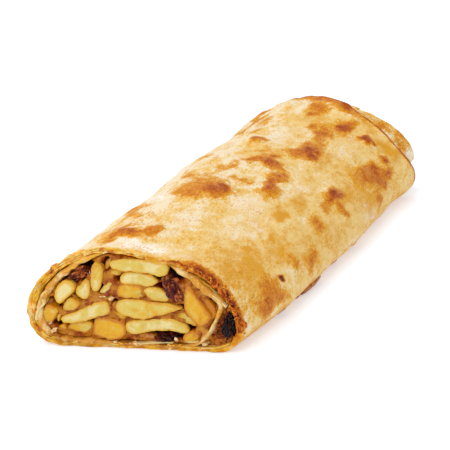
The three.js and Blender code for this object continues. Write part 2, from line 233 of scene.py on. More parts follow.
def facing_out(points, faces):
    """The faces of a closed shape, turned round if they look inwards."""
    return [f[::-1] for f in faces] if volume(points, faces) < 0 else faces


LOW_CORNER, HIGH_CORNER = np.array(cad_box)
INSIDE_BOX = 0.05  # how far inside the solid's box make_piece keeps a piece, in mm


def kept_inside(points):
    """Points of a piece, in metres, with any torn tip that leaves the solid's box pushed back."""
    return np.clip(points, LOW_CORNER + INSIDE_BOX * MM, HIGH_CORNER - INSIDE_BOX * MM)


def make_mesh(name, points, faces):
    """A smoothly shaded mesh from points in metres, with its faces looking outwards."""
    mesh = bpy.data.meshes.new(name)
    mesh.from_pydata(points.tolist(), [], facing_out(points, faces))
    mesh.polygons.foreach_set("use_smooth", [True] * len(faces))
    return mesh


def show(name, data):
    """A new object in the scene, with that mesh, camera or lamp."""
    thing = bpy.data.objects.new(name, data)
    bpy.context.scene.collection.objects.link(thing)
    return thing


def make_piece(name, points, faces, finish, **painted):
    """A piece from points in metres; painted gives one value, or one for each point."""
    points = kept_inside(points)
    mesh = make_mesh(name, points, faces)
    mesh.materials.append(finish)
    for label, values in painted.items():
        layer = mesh.attributes.new(label, "FLOAT", "POINT")
        layer.data.foreach_set("value", np.broadcast_to(values, len(points)).astype(np.float32))
    print(f"{name}: {len(faces)} faces, {abs(volume(points, faces)) * 1e6:.1f} cm3")
    return show(name, mesh)


def join_shapes(shapes):
    """Several (points, faces, painted) as one, for a piece made of many closed lumps."""
    points, faces, painted, start = [], [], {}, 0
    for p, f, values in shapes:
        points.append(p)
        faces += [[i + start for i in face] for face in facing_out(p, f)]
        start += len(p)
        for label, value in values.items():
            painted.setdefault(label, []).append(np.broadcast_to(value, len(p)))
    return np.concatenate(points), faces, {k: np.concatenate(v) for k, v in painted.items()}


print("the solid's box:", LOW_CORNER.round(4).tolist(), "to", HIGH_CORNER.round(4).tolist())

# %% [markdown]
# ## The cross-section of the roll
# The roll is flat where it lay on the tray and domed over the filling, fuller at the left.
# A flat floor and four superellipse quarters give that outline from a few real sizes:
# where the crown, the widest points and the feet are. The inner wrap, which turns in at
# the right and leaves a pocket, follows no such rule, so it is a smooth curve by points.

# %% Outlines
OUTSIDE = dict(
    left=-45, right=45, crown_x=-12, crown_z=44.5, floor_z=0, wide_left_z=17, wide_right_z=9,
    foot_left_x=-28.5, foot_right_x=36,
    top_right=1.74, top_left=1.71, foot_left=2.22, foot_right=1.7,
)
WRAP_INSIDE = dict(
    OUTSIDE, left=-41.2, right=42.6, crown_z=42.4, floor_z=1.9,
    foot_left_x=-27, foot_right_x=35, top_left=1.66,
)
PLUG = dict(OUTSIDE, right=44, crown_z=40.3, wide_right_z=13, foot_right_x=24, foot_right=1.4)
PLUG_INSET = 2.6
INNER_WRAP = [
    (-30, 2), (0, 1), (22.5, 1), (30.5, 6.7), (33.9, 13.9), (35.7, 21.7),
    (30.5, 27), (23.1, 32.6), (12.5, 38.4), (-9.5, 43), (-22.2, 39),
    (-31.3, 31.6), (-37.9, 23.6), (-40.3, 14.4), (-38.2, 6.6),
]
INNER_WRAP_THICKNESS = 1.7
FIT_GAP = 0.35  # between a filling and the dough round it


def section_outline(sizes, fine=300):
    """The closed outline, anticlockwise as the cut shows it, from the middle of its floor."""
    t = np.linspace(0, math.pi / 2, fine)[:, None]

    def quarter(x, z, reach_x, reach_z, exponent, starts_flat):
        rise, fall = np.sin(t) ** (2 / exponent), np.cos(t) ** (2 / exponent)
        turn = (rise, fall) if starts_flat else (fall, rise)
        return np.hstack([x + reach_x * turn[0], z + reach_z * turn[1]])

    low, top = sizes["floor_z"], sizes["crown_z"]
    left, middle, right = sizes["left"], sizes["crown_x"], sizes["right"]
    left_z, right_z = sizes["wide_left_z"], sizes["wide_right_z"]
    left_foot, right_foot = sizes["foot_left_x"], sizes["foot_right_x"]
    return np.vstack([
        [[0, low]],
        quarter(right_foot, right_z, right - right_foot, low - right_z, sizes["foot_right"], True),
        quarter(middle, right_z, right - middle, top - right_z, sizes["top_right"], False),
        quarter(middle, left_z, left - middle, top - left_z, sizes["top_left"], True),
        quarter(left_foot, left_z, left - left_foot, low - left_z, sizes["foot_left"], False),
        [[0, low]],
    ])


# %% Lines of the cross-section
def lengths_along(line):
    """How far along a line each of its points lies."""
    return np.r_[0, np.cumsum(np.linalg.norm(np.diff(line, axis=0), axis=1))]


def at_shares(line, shares):
    """Points of a line at shares of its length, from 0 to 1."""
    reach = lengths_along(line)
    return np.stack([np.interp(shares, reach / reach[-1], column) for column in line.T], axis=1)


def outward(points):
    """The outward direction at each point of a closed anticlockwise outline."""
    tangent = np.roll(points, -1, axis=0) - np.roll(points, 1, axis=0)
    tangent /= np.linalg.norm(tangent, axis=1, keepdims=True)
    return np.stack([tangent[:, 1], -tangent[:, 0]], axis=1)


def closed_line(points):
    """The points of an outline with the first one again at the end."""
    return np.vstack([points, points[:1]])


def smooth_line(points, closed=False, fine=24):
    """A smooth curve through a few points."""
    p = np.array(points, float)
    count = len(p)
    line = []
    for i in range(count if closed else count - 1):
        picks = [i - 1, i, i + 1, i + 2]
        picks = [k % count for k in picks] if closed else np.clip(picks, 0, count - 1)
        line.append(curve_between(*p[picks], np.linspace(0, 1, fine, endpoint=False)[:, None]))
    return np.vstack(line + [p[:1] if closed else p[-1:]])


def at_y(line, y):
    """A line of the cross-section as points of the roll, all at that y or each at its own."""
    return np.column_stack([line[:, 0], np.zeros(len(line)) + y, line[:, 1]])


skin_line = section_outline(OUTSIDE)
PERIMETER = lengths_along(skin_line)[-1]
CROWN = lengths_along(skin_line)[skin_line[:, 1].argmax()]
print(f"outline {PERIMETER:.1f} mm round, crown {CROWN:.1f} mm from the middle of the floor")

# %% [markdown]
# ## What the oven did to the skin
# Thin dough lifts off the filling in blisters. Their tops come closest to the heat and
# scorch, so height and colour belong together: one list says where each blister lies and
# how brown it is, and both the mesh and the paint read it. A place on the skin is given by
# two real distances: along, from the cut, and around, from the crown towards the right.
# Real patches are ragged, so the distances are first bent by noise, and smaller patches
# with seeded random places cover the sides that were out of sight.

# %% Swellings
SWELLINGS = [  # along, around, half length, half width, height
    (17, -4, 7, 9, 1.5), (26, 7, 6, 7, 1.2), (82, 6, 16, 14, 1.6), (107, 29, 9, 7, 0.9),
    (123, 27, 7, 6, 0.8), (134, 17, 10, 10, 1.2), (155, 3, 8, 8, 1.2), (165, 26, 13, 11, 0.9),
    (143, 51, 9, 7, 1.2), (209, 41, 6, 4, 0.8), (203, 55, 9, 6, 0.9), (126, -24, 22, 16, 1.2),
    (55, -22, 20, 15, 0.7), (211, -22, 15, 15, 1.7), (175, -26, 16, 16, -1),
    (150, 72, 26, 16, 0.8), (62, 66, 30, 14, 0.7), (66, 32, 24, 15, -0.7),
    (186, -70, 26, 16, 0.9), (96, -74, 24, 16, 0.8), (226, 12, 12, 10, 1.7),
]
SWELLING_SPREAD = 1.4  # a swelling's foot, as a multiple of its half size
print(len(SWELLINGS), "swellings, the highest", max(high for *_, high in SWELLINGS), "mm")

# %% Browned patches
BROWNED = [  # along, around, half length, half width, turn in degrees, how brown, how high
    (18, 3, 5, 5, 0, 0.75, 0.4), (25, 8, 7, 3, 0, 0.6, 0.3), (10, -1, 4, 2.5, 0, 0.55, 0),
    (25, -9, 4, 8, -25, 0.5, 0.2), (22, -3, 3, 6, 20, 0.55, 0),
    (84, 14, 8, 5, 0, 0.85, 0.5), (76, 5, 9, 9, 0, 0.5, 0.3), (88, 6, 9, 8, 0, 0.4, 0.3),
    (95, -7, 12, 3, -35, 0.35, 0.2), (97, 1, 4, 4, 0, 0.4, 0.1), (71, 2, 4, 9, 0, 0.3, 0),
    (104, 15, 4, 4, 0, 0.5, 0.2), (107, 28.5, 9, 5, 0, 0.95, 0.6), (117, 26, 5, 3.5, 0, 0.6, 0.2),
    (123.5, 27.5, 4, 3, 0, 0.75, 0.3), (114, 4, 8, 3.5, 15, 0.55, 0.2),
    (133, 19, 5, 5.5, 0, 0.9, 0.5), (127, 11, 3, 5, -40, 0.7, 0.2), (142, 17, 4, 2.5, 0, 0.7, 0.1),
    (129, 24, 4, 4, 0, 0.5, 0), (154, 3, 5, 3, 0, 0.65, 0.4), (157, 6, 4, 2.5, 0, 0.5, 0.2),
    (146, 11, 6, 3, 25, 0.4, 0), (164, 27.5, 9, 5, 0, 0.95, 0.5), (155, 23, 5, 5, 0, 0.6, 0.2),
    (178, 27, 9, 4, 0, 0.5, 0.3), (188, 24, 6, 5, 0, 0.75, 0.4), (192, 16, 5, 3, 0, 0.55, 0.2),
    (207, 27.5, 8, 4, 0, 0.95, 0.5), (197, 22, 5, 5, 0, 0.4, 0.2),
    (215, 7, 6, 5, 0, 0.75, 0.3), (206, 8, 3, 3, 0, 0.7, 0.2), (221, 20, 3, 9, 0, 0.6, 0.2),
    (226, 10, 2, 12, 0, 0.5, 0.1), (143, 51, 9, 4, 0, 1, 0.7), (139, 58, 5, 3, 0, 0.6, 0.4),
    (128, 52, 5, 3, 0, 0.6, 0.2), (210, 42, 4.5, 3, 0, 1.2, 0.6), (210, 42, 3, 2, 0, 0.9, 0.3),
    (208, 52, 5, 3, 0, 0.9, 0.4),
    (203, 59, 6, 4, 0, 0.85, 0.4), (193, 54, 6, 3.5, 0, 0.8, 0.3), (193, 61, 4, 4, 0, 0.75, 0.3),
    (181, 52, 13, 6, 0, 0.6, 0.2), (178, 66, 6, 3, 0, 0.65, 0.2), (186, 59, 7, 4, 0, 0.55, 0.1),
    (111, 57, 5, 7, 0, 0.6, 0.3), (89, 65, 6, 5, 0, 0.55, 0.2), (73, 60, 6, 5, 0, 0.5, 0.1),
    (37, 63, 10, 8, 0, 0.65, 0.2), (27, 68, 8, 5, 20, 0.6, 0.1), (45, 69, 12, 3, 0, 0.5, 0),
    (14, 51, 16, 4.5, 0, 0.42, 0), (14, 62, 10, 4, 0, 0.3, 0), (53, 62, 3, 0.9, 0, 1.6, 0),
    (12, -2, 7, 4, 10, 0.5, 0.1),
    (127, -12, 4, 4, 0, 0.55, 0.2), (52, -14, 17, 5, -35, 0.45, 0.3), (192, -14, 6, 3, 0, 0.6, 0.3),
    (184, -16, 7, 3, -20, 0.5, 0.2), (189, -7, 9, 3, 0, 0.4, 0.1), (208, -19, 10, 3, 20, 0.55, 0.3),
    (172, -6, 6, 3, 0, 0.35, 0),
]
print(len(BROWNED), "browned patches show in the photograph")

# %% Golden and floured patches
GOLDEN = [  # along, around, half length, half width, how golden
    (49, 42, 8, 5, 1.1), (96, 41, 7, 4, 1.1), (26, 50, 28, 12, 0.7), (112, 62, 22, 12, 0.5),
    (160, 36, 18, 3, 0.5), (170, 58, 40, 14, 0.4), (219, 48, 5, 14, 0.7), (116, 42, 14, 3, 0.6),
    (70, 55, 18, 9, 0.45), (142, 12, 12, 8, 0.4), (207, 10, 14, 8, 0.4), (74, 47, 6, 3, 0.7),
    (8, 30, 10, 8, 0.35), (10, 0, 10, 10, 0.5), (125, -14, 10, 3, 0.6), (50, 24, 5, 4, 0.3),
    (180, 52, 20, 5, 0.4), (84, 60, 26, 4, 0.5),
]
FLOURED = [  # along, around, half length, half width, how white
    (6, 14, 8, 17, 0.9), (66, -12, 16, 9, 0.8), (100, 9, 9, 4, 0.5), (84, 27, 18, 6, 0.45),
    (88, 34, 12, 5, 0.5), (70, 37, 13, 5, 0.5), (112, -20, 18, 9, 0.6), (142, -12, 14, 7, 0.5),
    (172, 9, 18, 5, 0.5), (202, 37, 9, 3, 0.45), (60, 30, 22, 6, 0.3), (162, 66, 12, 4, 0.5),
    (184, 37, 16, 3, 0.5), (128, 38, 12, 4, 0.5), (40, 14, 18, 7, 0.35), (112, 12, 10, 4, 0.4),
    (152, 14, 8, 4, 0.4), (92, 28, 10, 3, 0.5), (216, -14, 8, 5, 0.5),
]
print(len(GOLDEN), "golden and", len(FLOURED), "floured patches")

# %% Patches on the side that the photograph does not show
UNSEEN_ALONG, UNSEEN_AROUND = (8, 222), (-84, -28)
UNSEEN_BROWNED, UNSEEN_CLOUDS = 46, 16
unseen = np.random.default_rng(5)


def unseen_place():
    return unseen.uniform(*UNSEEN_ALONG), unseen.uniform(*UNSEEN_AROUND)


for _ in range(UNSEEN_BROWNED):
    BROWNED.append((*unseen_place(), unseen.uniform(3, 10), unseen.uniform(2.5, 7),
                    unseen.uniform(-40, 40), unseen.uniform(0.35, 0.95), unseen.uniform(0, 0.5)))
for _ in range(UNSEEN_CLOUDS):
    FLOURED.append((*unseen_place(), unseen.uniform(8, 18), unseen.uniform(5, 10),
                    unseen.uniform(0.3, 0.7)))
    GOLDEN.append((*unseen_place(), unseen.uniform(8, 22), unseen.uniform(5, 12),
                   unseen.uniform(0.2, 0.6)))
print(len(BROWNED), "browned patches in all")

# %% Heights and colours at a place on the skin
BLISTER_SPREAD, PATCH_SPREAD = 1.7, 1.5  # where they have faded out, as multiples of half size


def dome(distance):
    """1 in the middle, falling smoothly to 0 at distance 1."""
    return np.where(distance < 1, (1 - np.minimum(distance, 1) ** 2) ** 2, 0)


def swelling_height(along, around):
    """How far the skin stands out, in mm: the broad forms, as on the solid."""
    height = np.zeros(along.shape)
    for a, r, long, wide, high in SWELLINGS:
        apart = np.hypot((along - a) / long, (around - r) / wide)
        height += high * dome(apart / SWELLING_SPREAD)
    return height


def ragged(points, along, around, reach):
    """The same places, bent by noise, so that a patch drawn there gets a ragged edge."""
    flat = points.reshape(-1, 3)
    bent = [crumple(flat * [1, 0.7, 1], 12, seed) * reach for seed in (21, 22)]
    finer = [crumple(flat * [1, 0.6, 1], 4, seed) * reach * 0.45 for seed in (23, 24)]
    return [v + (a + b).reshape(along.shape) for v, a, b in zip((along, around), bent, finer)]


def patches(along, around, marks):
    """The strongest of the marks at each place, fading out round each."""
    strongest = np.zeros(along.shape)
    for a, r, long, wide, strength in marks:
        apart = np.hypot((along - a) / long, (around - r) / wide) / PATCH_SPREAD
        strongest = np.maximum(strongest, strength * dome(apart))
    return strongest


def blisters(along, around):
    """How brown the blisters are, from 0 to 1, and how high they stand, in mm."""
    brown, height = np.zeros(along.shape), np.zeros(along.shape)
    for a, r, long, wide, turn, strength, high in BROWNED:
        c, s = math.cos(math.radians(turn)), math.sin(math.radians(turn))
        da, dr = along - a, around - r
        apart = np.hypot((c * da + s * dr) / long, (c * dr - s * da) / wide) / BLISTER_SPREAD
        brown = 1 - (1 - brown) * (1 - strength * dome(apart))
        height = np.maximum(height, high * dome(apart))
    return brown, height


print(f"the highest blister is {max(high for *_, high in BROWNED):.2f} mm high")

# %% [markdown]
# ## Short words for finishes
# A finish here is always a few patterns, mixed: large patches come painted on the mesh,
# and fine noise frays their edges, because real browning is made of tiny dots. The
# patterns read the piece's own object coordinates, in real sizes, so they stay where they
# are from every side. These few helpers keep each recipe short enough to read.

# %% Finish helpers
def chip(red, green, blue):
    """A colour as seen on a screen, from 0 to 255, as the shader wants it."""
    seen = np.array([red, green, blue]) / 255
    linear = np.where(seen <= 0.04045, seen / 12.92, ((seen + 0.055) / 1.055) ** 2.4)
    return (*linear.tolist(), 1.0)


class Finish:
    """A material being mixed. Whole-surface values go straight on the shader's sockets."""

    def __init__(self, name, **sockets):
        self.material = bpy.data.materials.new(name)
        self.material.use_nodes = True
        tree = self.material.node_tree
        self.nodes, self.links = tree.nodes, tree.links
        self.shader = self.nodes["Principled BSDF"]
        for label, value in sockets.items():
            socket_name = label.replace("_", " ").title().replace("Ior", "IOR")
            self.shader.inputs[socket_name].default_value = value
        self.place = self.nodes.new("ShaderNodeTexCoord").outputs["Object"]

    def feed(self, socket, value):
        if isinstance(value, bpy.types.NodeSocket):
            self.links.new(value, socket)
        else:
            socket.default_value = value

    def painted(self, label):
        node = self.nodes.new("ShaderNodeAttribute")
        node.attribute_name = label
        return node.outputs["Fac"]

    def stretch(self, *scale):
        """Patterns made from here on are drawn out along an axis whose scale is under 1."""
        node = self.nodes.new("ShaderNodeMapping")
        node.inputs["Scale"].default_value = scale
        self.links.new(self.place, node.inputs["Vector"])
        self.place = node.outputs["Vector"]

    def noise(self, size, detail=2.0):
        """Cloudy noise spread over 0 to 1; size is in mm."""
        node = self.nodes.new("ShaderNodeTexNoise")
        node.inputs["Scale"].default_value = 1 / (size * MM)
        node.inputs["Detail"].default_value = detail
        self.links.new(self.place, node.inputs["Vector"])
        return self.step(node.outputs["Fac"], 0.25, 0.75)

    def dots(self, size, share):
        """Small dots, 1 in their middle; share is how many of the cells have one."""
        node = self.nodes.new("ShaderNodeTexVoronoi")
        node.inputs["Scale"].default_value = 1 / (size * MM)
        self.links.new(self.place, node.inputs["Vector"])
        near = self.step(node.outputs["Distance"], 0.42, 0.12)
        picked = self.nodes.new("ShaderNodeSeparateColor")
        self.links.new(node.outputs["Color"], picked.inputs["Color"])
        chosen = self.math("LESS_THAN", picked.outputs["Red"], share)
        return self.math("MULTIPLY", near, chosen)

    def math(self, operation, a, b=0.0, c=0.0):
        node = self.nodes.new("ShaderNodeMath")
        node.operation = operation
        for socket, value in zip(node.inputs, (a, b, c)):
            self.feed(socket, value)
        return node.outputs["Value"]

    def add(self, start, *parts):
        """start plus each (value, share) of parts, with the value counted from its middle."""
        for value, share in parts:
            centred = self.math("SUBTRACT", value, 0.5)
            start = self.math("MULTIPLY_ADD", centred, share, start)
        return start

    def step(self, value, low, high):
        node = self.nodes.new("ShaderNodeMapRange")
        node.interpolation_type = "SMOOTHSTEP"
        self.feed(node.inputs["Value"], value)
        node.inputs["From Min"].default_value = min(low, high)
        node.inputs["From Max"].default_value = max(low, high)
        node.inputs["To Min"].default_value = float(low > high)
        node.inputs["To Max"].default_value = float(low < high)
        return node.outputs["Result"]

    def mix(self, first, second, share):
        node = self.nodes.new("ShaderNodeMix")
        node.data_type = "RGBA"
        self.feed(node.inputs["Factor"], share)
        for socket in node.inputs:
            if socket.type == "RGBA" and socket.name == "A":
                self.feed(socket, first)
            if socket.type == "RGBA" and socket.name == "B":
                self.feed(socket, second)
        return next(s for s in node.outputs if s.type == "RGBA")

    def between(self, low, high, share):
        """A number from low to high."""
        return self.math("MULTIPLY_ADD", share, high - low, low)

    def colour(self, value):
        self.feed(self.shader.inputs["Base Color"], value)

    def roughness(self, value):
        self.feed(self.shader.inputs["Roughness"], value)

    def bump(self, *heights):
        """Fine relief; each height is (noise from 0 to 1, how high in mm)."""
        total = 0.0
        for value, high in heights:
            total = self.math("MULTIPLY_ADD", value, high * MM, total)
        node = self.nodes.new("ShaderNodeBump")
        node.inputs["Distance"].default_value = 1.0
        self.links.new(total, node.inputs["Height"])
        self.links.new(node.outputs["Normal"], self.shader.inputs["Normal"])


# %% [markdown]
# ## The finish of the baked skin
# Baked dough is cream where it stayed cool, golden over most of its top, and brown to
# near black on the blisters. Dry flour leaves whitish clouds, and fine brown pepper
# surrounds each patch. The painted values set where, and noise of 0.6 to 11 mm sets how
# ragged. The rough edge that the knife left has colours of its own: golden and moist at
# the left and top, dark red-brown where the crust baked crisp at the right.

# %% Baked skin finish
def baked_skin():
    skin = Finish("baked_skin", subsurface_weight=0.05, subsurface_scale=0.002,
                  specular_ior_level=0.15)
    skin.shader.inputs["Subsurface Radius"].default_value = (1.0, 0.6, 0.3)
    skin.stretch(1, 0.6, 1)
    clouds, mottle = skin.noise(11, 3), skin.noise(3.6, 3)
    grain, speck = skin.noise(1.3, 2), skin.noise(0.6, 1)
    golden = skin.add(skin.painted("golden"), (clouds, 0.55), (mottle, 0.4), (grain, 0.26),
                      (speck, 0.26))
    colour = skin.mix(chip(226, 208, 174), chip(222, 186, 112), skin.step(golden, 0.0, 0.45))
    colour = skin.mix(colour, chip(206, 144, 22), skin.step(golden, 0.45, 1.35))
    floured = skin.add(skin.painted("floured"), (mottle, 0.45), (grain, 0.25))
    colour = skin.mix(colour, chip(234, 224, 208), skin.step(floured, 0.2, 0.9))
    browned = skin.add(skin.painted("browned"), (clouds, 0.14), (mottle, 0.28), (grain, 0.24),
                       (speck, 0.24))
    colour = skin.mix(colour, chip(212, 152, 36), skin.step(browned, 0.02, 0.32))
    colour = skin.mix(colour, chip(194, 114, 8), skin.step(browned, 0.28, 0.6))
    colour = skin.mix(colour, chip(158, 68, 3), skin.step(browned, 0.58, 0.92))
    colour = skin.mix(colour, chip(84, 26, 5), skin.step(browned, 0.98, 1.25))
    pepper = skin.dots(0.9, skin.painted("peppered"))
    colour = skin.mix(colour, chip(158, 92, 22), skin.math("MULTIPLY", pepper, 0.5))
    edge = skin.add(skin.painted("crisp"), (mottle, 0.7), (grain, 0.6))
    soft = skin.mix(chip(218, 166, 42), chip(200, 132, 20), skin.step(mottle, 0.3, 0.8))
    soft = skin.mix(soft, chip(230, 190, 106), skin.step(clouds, 0.6, 0.9))
    rim = skin.mix(soft, chip(208, 120, 26), skin.step(edge, 0.15, 0.5))
    rim = skin.mix(rim, chip(150, 60, 12), skin.step(edge, 0.5, 0.85))
    rim = skin.mix(rim, chip(84, 26, 6), skin.step(edge, 0.9, 1.25))
    colour = skin.mix(colour, rim, skin.painted("rim"))
    skin.colour(colour)
    skin.roughness(skin.between(0.42, 0.68, mottle))
    skin.bump((mottle, 0.16), (grain, 0.1), (speck, 0.05))
    return skin.material


baked_skin_finish = baked_skin()

# %% [markdown]
# ## The outer wrap
# On the real strudel this is the last turn of the dough: a shell 2 to 4 mm thick, open at
# the cut and ending in a browned lip at the far end. As a closed stack of rings it runs
# along the outside from cut to lip, back along the inside, and over the torn edge to where
# it began. Rings are close together where the oven and the knife left detail, and far
# apart inside and on the floor.

# %% Where the rings of the outer wrap lie
FLOOR_STEP, SKIN_STEP = 3.2, (0.74)
CUT_STEP, LENGTH_STEP, LIP_STEP = ((0.45, 0.84, 0.6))
FOOT_RIGHT = OUTSIDE["foot_right_x"]
FOOT_LEFT = PERIMETER + OUTSIDE["foot_left_x"]


def spaced(start, end, step):
    """Even places from start on, the last one a step short of end."""
    return np.linspace(start, end, max(2, round((end - start) / step)), endpoint=False)


around_steps = np.r_[
    spaced(0, FOOT_RIGHT, FLOOR_STEP), spaced(FOOT_RIGHT, FOOT_LEFT, SKIN_STEP),
    spaced(FOOT_LEFT, PERIMETER, FLOOR_STEP),
]
SHARES = around_steps / PERIMETER
AROUND = CROWN - around_steps
ALONG = np.r_[spaced(0, 10, CUT_STEP), spaced(10, 214, LENGTH_STEP), spaced(214, LIP_Y, LIP_STEP),
              LIP_Y]
skin_outline = at_shares(skin_line, SHARES)
skin_out = outward(skin_outline)
off_floor = ease(0.2, 6, skin_outline[:, 1])
inside_outline = at_shares(section_outline(WRAP_INSIDE), SHARES)
print(f"{len(AROUND)} points round, {len(ALONG)} rings along")

# %% The skin's shape
LIP_EAR = dict(around=74, spread=15, back=4.5, out=3)
LIP_FLARE, LIP_REACH, LIP_THICKNESS, LIP_DEPTH = 0.3, 22, 1.8, 8
BULGE = dict(around=43, spread=27, out=3.8, inside_share=0.65, fades_by=60)
WRINKLE_SINK = 0.22  # the fine relief lies this much below the solid's skin, on average


def bulge_height(along, around):
    """How far the roll bulges at the upper right of the cut, in mm, as on the solid."""
    apart = np.abs(around - BULGE["around"]) / BULGE["spread"]
    return BULGE["out"] * dome(apart) * ease(BULGE["fades_by"], 0, along)


def lip_share(along):
    """0 up to where the lip begins, and 1 at its edge."""
    return ease(LIP_Y - LIP_REACH, LIP_Y, along)


def ear_share(around):
    """1 at the corner of the lip that stands out, and 0 away from it."""
    return np.exp(-(((around - LIP_EAR["around"]) / LIP_EAR["spread"]) ** 2))


def skin_shape(points, along, around):
    """Height over the plain outline, in mm, and how far the lip reaches back."""
    brown, blister = blisters(*ragged(points, along, around, 3.2))
    flat, shape = points.reshape(-1, 3), along.shape
    soft = crumple(flat, 17, 3).reshape(shape) * 0.38
    pulled = creases(flat * [1, 0.45, 1], 9, 31).reshape(shape) * 0.7
    pulled *= 1 + 0.8 * ease(140, 180, along)
    small = crumple(flat, 4.2, 7).reshape(shape) * (0.12 + 0.16 * brown)
    height = swelling_height(along, around) + soft + 0.85 * blister + small - WRINKLE_SINK
    height += bulge_height(along, around)
    height -= pulled * (0.25 + 0.75 * ease(4, -24, around)) * ease(0, 12, along)
    lip, ear = lip_share(along), ear_share(around)
    height += lip * (LIP_FLARE + LIP_EAR["out"] * ear)
    return height, lip**2 * LIP_EAR["back"] * ear


along_grid, around_grid = np.meshgrid(ALONG, AROUND, indexing="ij")
plain_skin = np.stack([
    0 * along_grid + skin_outline[:, 0], along_grid, 0 * along_grid + skin_outline[:, 1],
], axis=-1)
skin_height, lip_back = skin_shape(plain_skin, along_grid, around_grid)
rise = skin_height * off_floor
outer = np.stack([
    skin_outline[:, 0] + skin_out[:, 0] * rise,
    along_grid + lip_back * off_floor,
    skin_outline[:, 1] + skin_out[:, 1] * rise,
], axis=-1)
print(f"relief from {rise.min():.1f} to {rise.max():.1f} mm")

# %% [markdown]
# The knife tore the edge instead of slicing it. The dough is many thin layers pressed
# together, so the cut face of the wrap is a set of ridges, one for each layer, each torn
# back by its own amount. At the right, where it baked hard, pieces broke off and the edge
# is jagged; at the left it is soft and creased.

# %% The torn edge and the inside
RIM_RINGS = 9
LAYERS = 3.0
FRAY = 0.6
TEAR_REACH = 8  # how far from the cut the torn edge still moves the skin, in mm
inner_along = np.r_[226.5, 223, 219, np.arange(212, 16, -7), 12, 9, 7, 5, 3.4, 2, 1]
CRISP_FROM, CRISP_TO = 28, 68  # where the edge baked hard, round from the crown
crisp_edge = ease(CRISP_FROM, CRISP_FROM + 8, AROUND) * ease(CRISP_TO + 8, CRISP_TO, AROUND)


def cut_fray(x, z):
    """How far the edge is torn forward or back, as on the solid."""
    return FRAY * (0.6 * np.sin(0.5 * x + 0.35 * z) + 0.4 * np.sin(0.9 * x - 0.8 * z))


def inner_ring(y):
    """The inside of the wrap: a thin lip at the far end, and thicker dough before it."""
    at_lip = ease(LIP_Y - 2 * LIP_DEPTH, LIP_Y - LIP_DEPTH + 1, y)
    row = min(len(ALONG) - 1, np.searchsorted(ALONG, y))
    lip_line = outer[row][:, [0, 2]] - skin_out * LIP_THICKNESS
    line = inside_outline * (1 - at_lip) + lip_line * at_lip
    wave = 0.35 * crumple(at_y(line, y), 6, 41) * off_floor
    bulge = bulge_height(y, AROUND) * off_floor
    hollow = np.minimum(rise[row] - bulge, 0) * (1 - at_lip)
    line = line + skin_out * (BULGE["inside_share"] * bulge + hollow - wave)[:, None]
    return at_y(line, y + lip_back[row] * off_floor * at_lip)


inner = np.array([inner_ring(y) for y in inner_along])


def across(start, end, shares):
    """Rings between two rings, at those shares of the way."""
    return start + (end - start) * np.asarray(shares)[:, None, None]


rim_shares = np.linspace(0, 1, RIM_RINGS + 2)[1:-1]
rim = across(inner[-1], outer[0], rim_shares)
flat_rim = rim.reshape(-1, 3)
layer_turn = 0.35 * lumps(flat_rim, 14, 51).reshape(rim.shape[:2])
ridge = np.sin(math.pi * (LAYERS * rim_shares[:, None] + layer_turn)) ** 2
torn = crumple(flat_rim * [1, 0, 1], 5, 52, 4).reshape(rim.shape[:2])
notch = np.clip(crumple(flat_rim * [1, 0, 1], 2.6, 53).reshape(rim.shape[:2]) - 0.1, 0, 1)
thick_left = ease(-18, -34, AROUND) * ease(-92, -78, AROUND)
rim[..., 1] = cut_fray(rim[..., 0], rim[..., 2]) - 0.45 * ridge - 0.35 * torn
rim[..., 1] += crisp_edge * (1.5 * notch - 0.5 * ridge - 0.3) - thick_left * 0.8 * ridge
jagged = 0.5 * lumps(flat_rim, 1.9, 54).reshape(rim.shape[:2]) * crisp_edge
soft_edge = 0.8 * lumps(flat_rim, 5.5, 55).reshape(rim.shape[:2]) * thick_left
rim[..., [0, 2]] -= skin_out * (np.clip(jagged + soft_edge, -0.4, 1))[..., None]
edge_fray = cut_fray(outer[0][:, 0], outer[0][:, 2]) + 0.25 * torn[-1]
edge_fray += crisp_edge * np.clip(crumple(outer[0] * [1, 0, 1], 3.2, 56), -0.4, 1)
outer[..., 1] += np.maximum(1 - along_grid / TEAR_REACH, 0) * edge_fray
print(f"torn edge: {rim[..., 1].min():.1f} to {rim[..., 1].max():.1f} mm from the cut")

# %% [markdown]
# The lip at the far end is rounded and a little ragged. With it the stack closes, and the
# paint goes on: how golden, floured, browned and peppered each point is, and where it is
# torn edge or inside instead of skin.

# %% Assemble the outer wrap
LIP_ROUND = [0.25, 0.5, 0.75]
LIP_BULGE = np.array([0.55, 0.8, 0.55])
lip_rings = across(outer[-1], inner[0] + [0, 1.5, 0], LIP_ROUND)
lip_rings[..., 1] += LIP_BULGE[:, None]
lip_ragged = 0.5 * crumple(outer[-1], 6, 61) * off_floor
outer[-4:, :, 1] += np.array([0.25, 0.5, 0.75, 1])[:, None] * lip_ragged
lip_rings[..., 1] += lip_ragged
wrap_rings = np.concatenate([outer, lip_rings, inner, rim])
rows_before_rim = len(outer) + len(lip_rings) + len(inner)
wrap_along = wrap_rings[..., 1]
wrap_around = np.broadcast_to(AROUND, wrap_along.shape)
lip_back_grid = lip_share(wrap_along) ** 2 * LIP_EAR["back"] * ear_share(AROUND) * off_floor
off_skin = np.ones(wrap_along.shape)
off_skin[:len(outer)] = 0
bent = ragged(wrap_rings, wrap_along, wrap_around, 5)
right_side = ease(-20, 45, wrap_around)
near_floor = ease(9, 1, wrap_rings[..., 2])
browned = blisters(*ragged(wrap_rings, wrap_along, wrap_around, 3.2))[0]
browned = np.maximum(browned, 0.42 * near_floor)
lip_top = dome(np.abs(wrap_around - 12) / 32)
lip_brown = 0.95 * ease(LIP_Y - 10, LIP_Y - 3, wrap_along) * lip_top
lip_edge = ease(LIP_Y - 2.2, LIP_Y - 0.4, wrap_along - lip_back_grid)
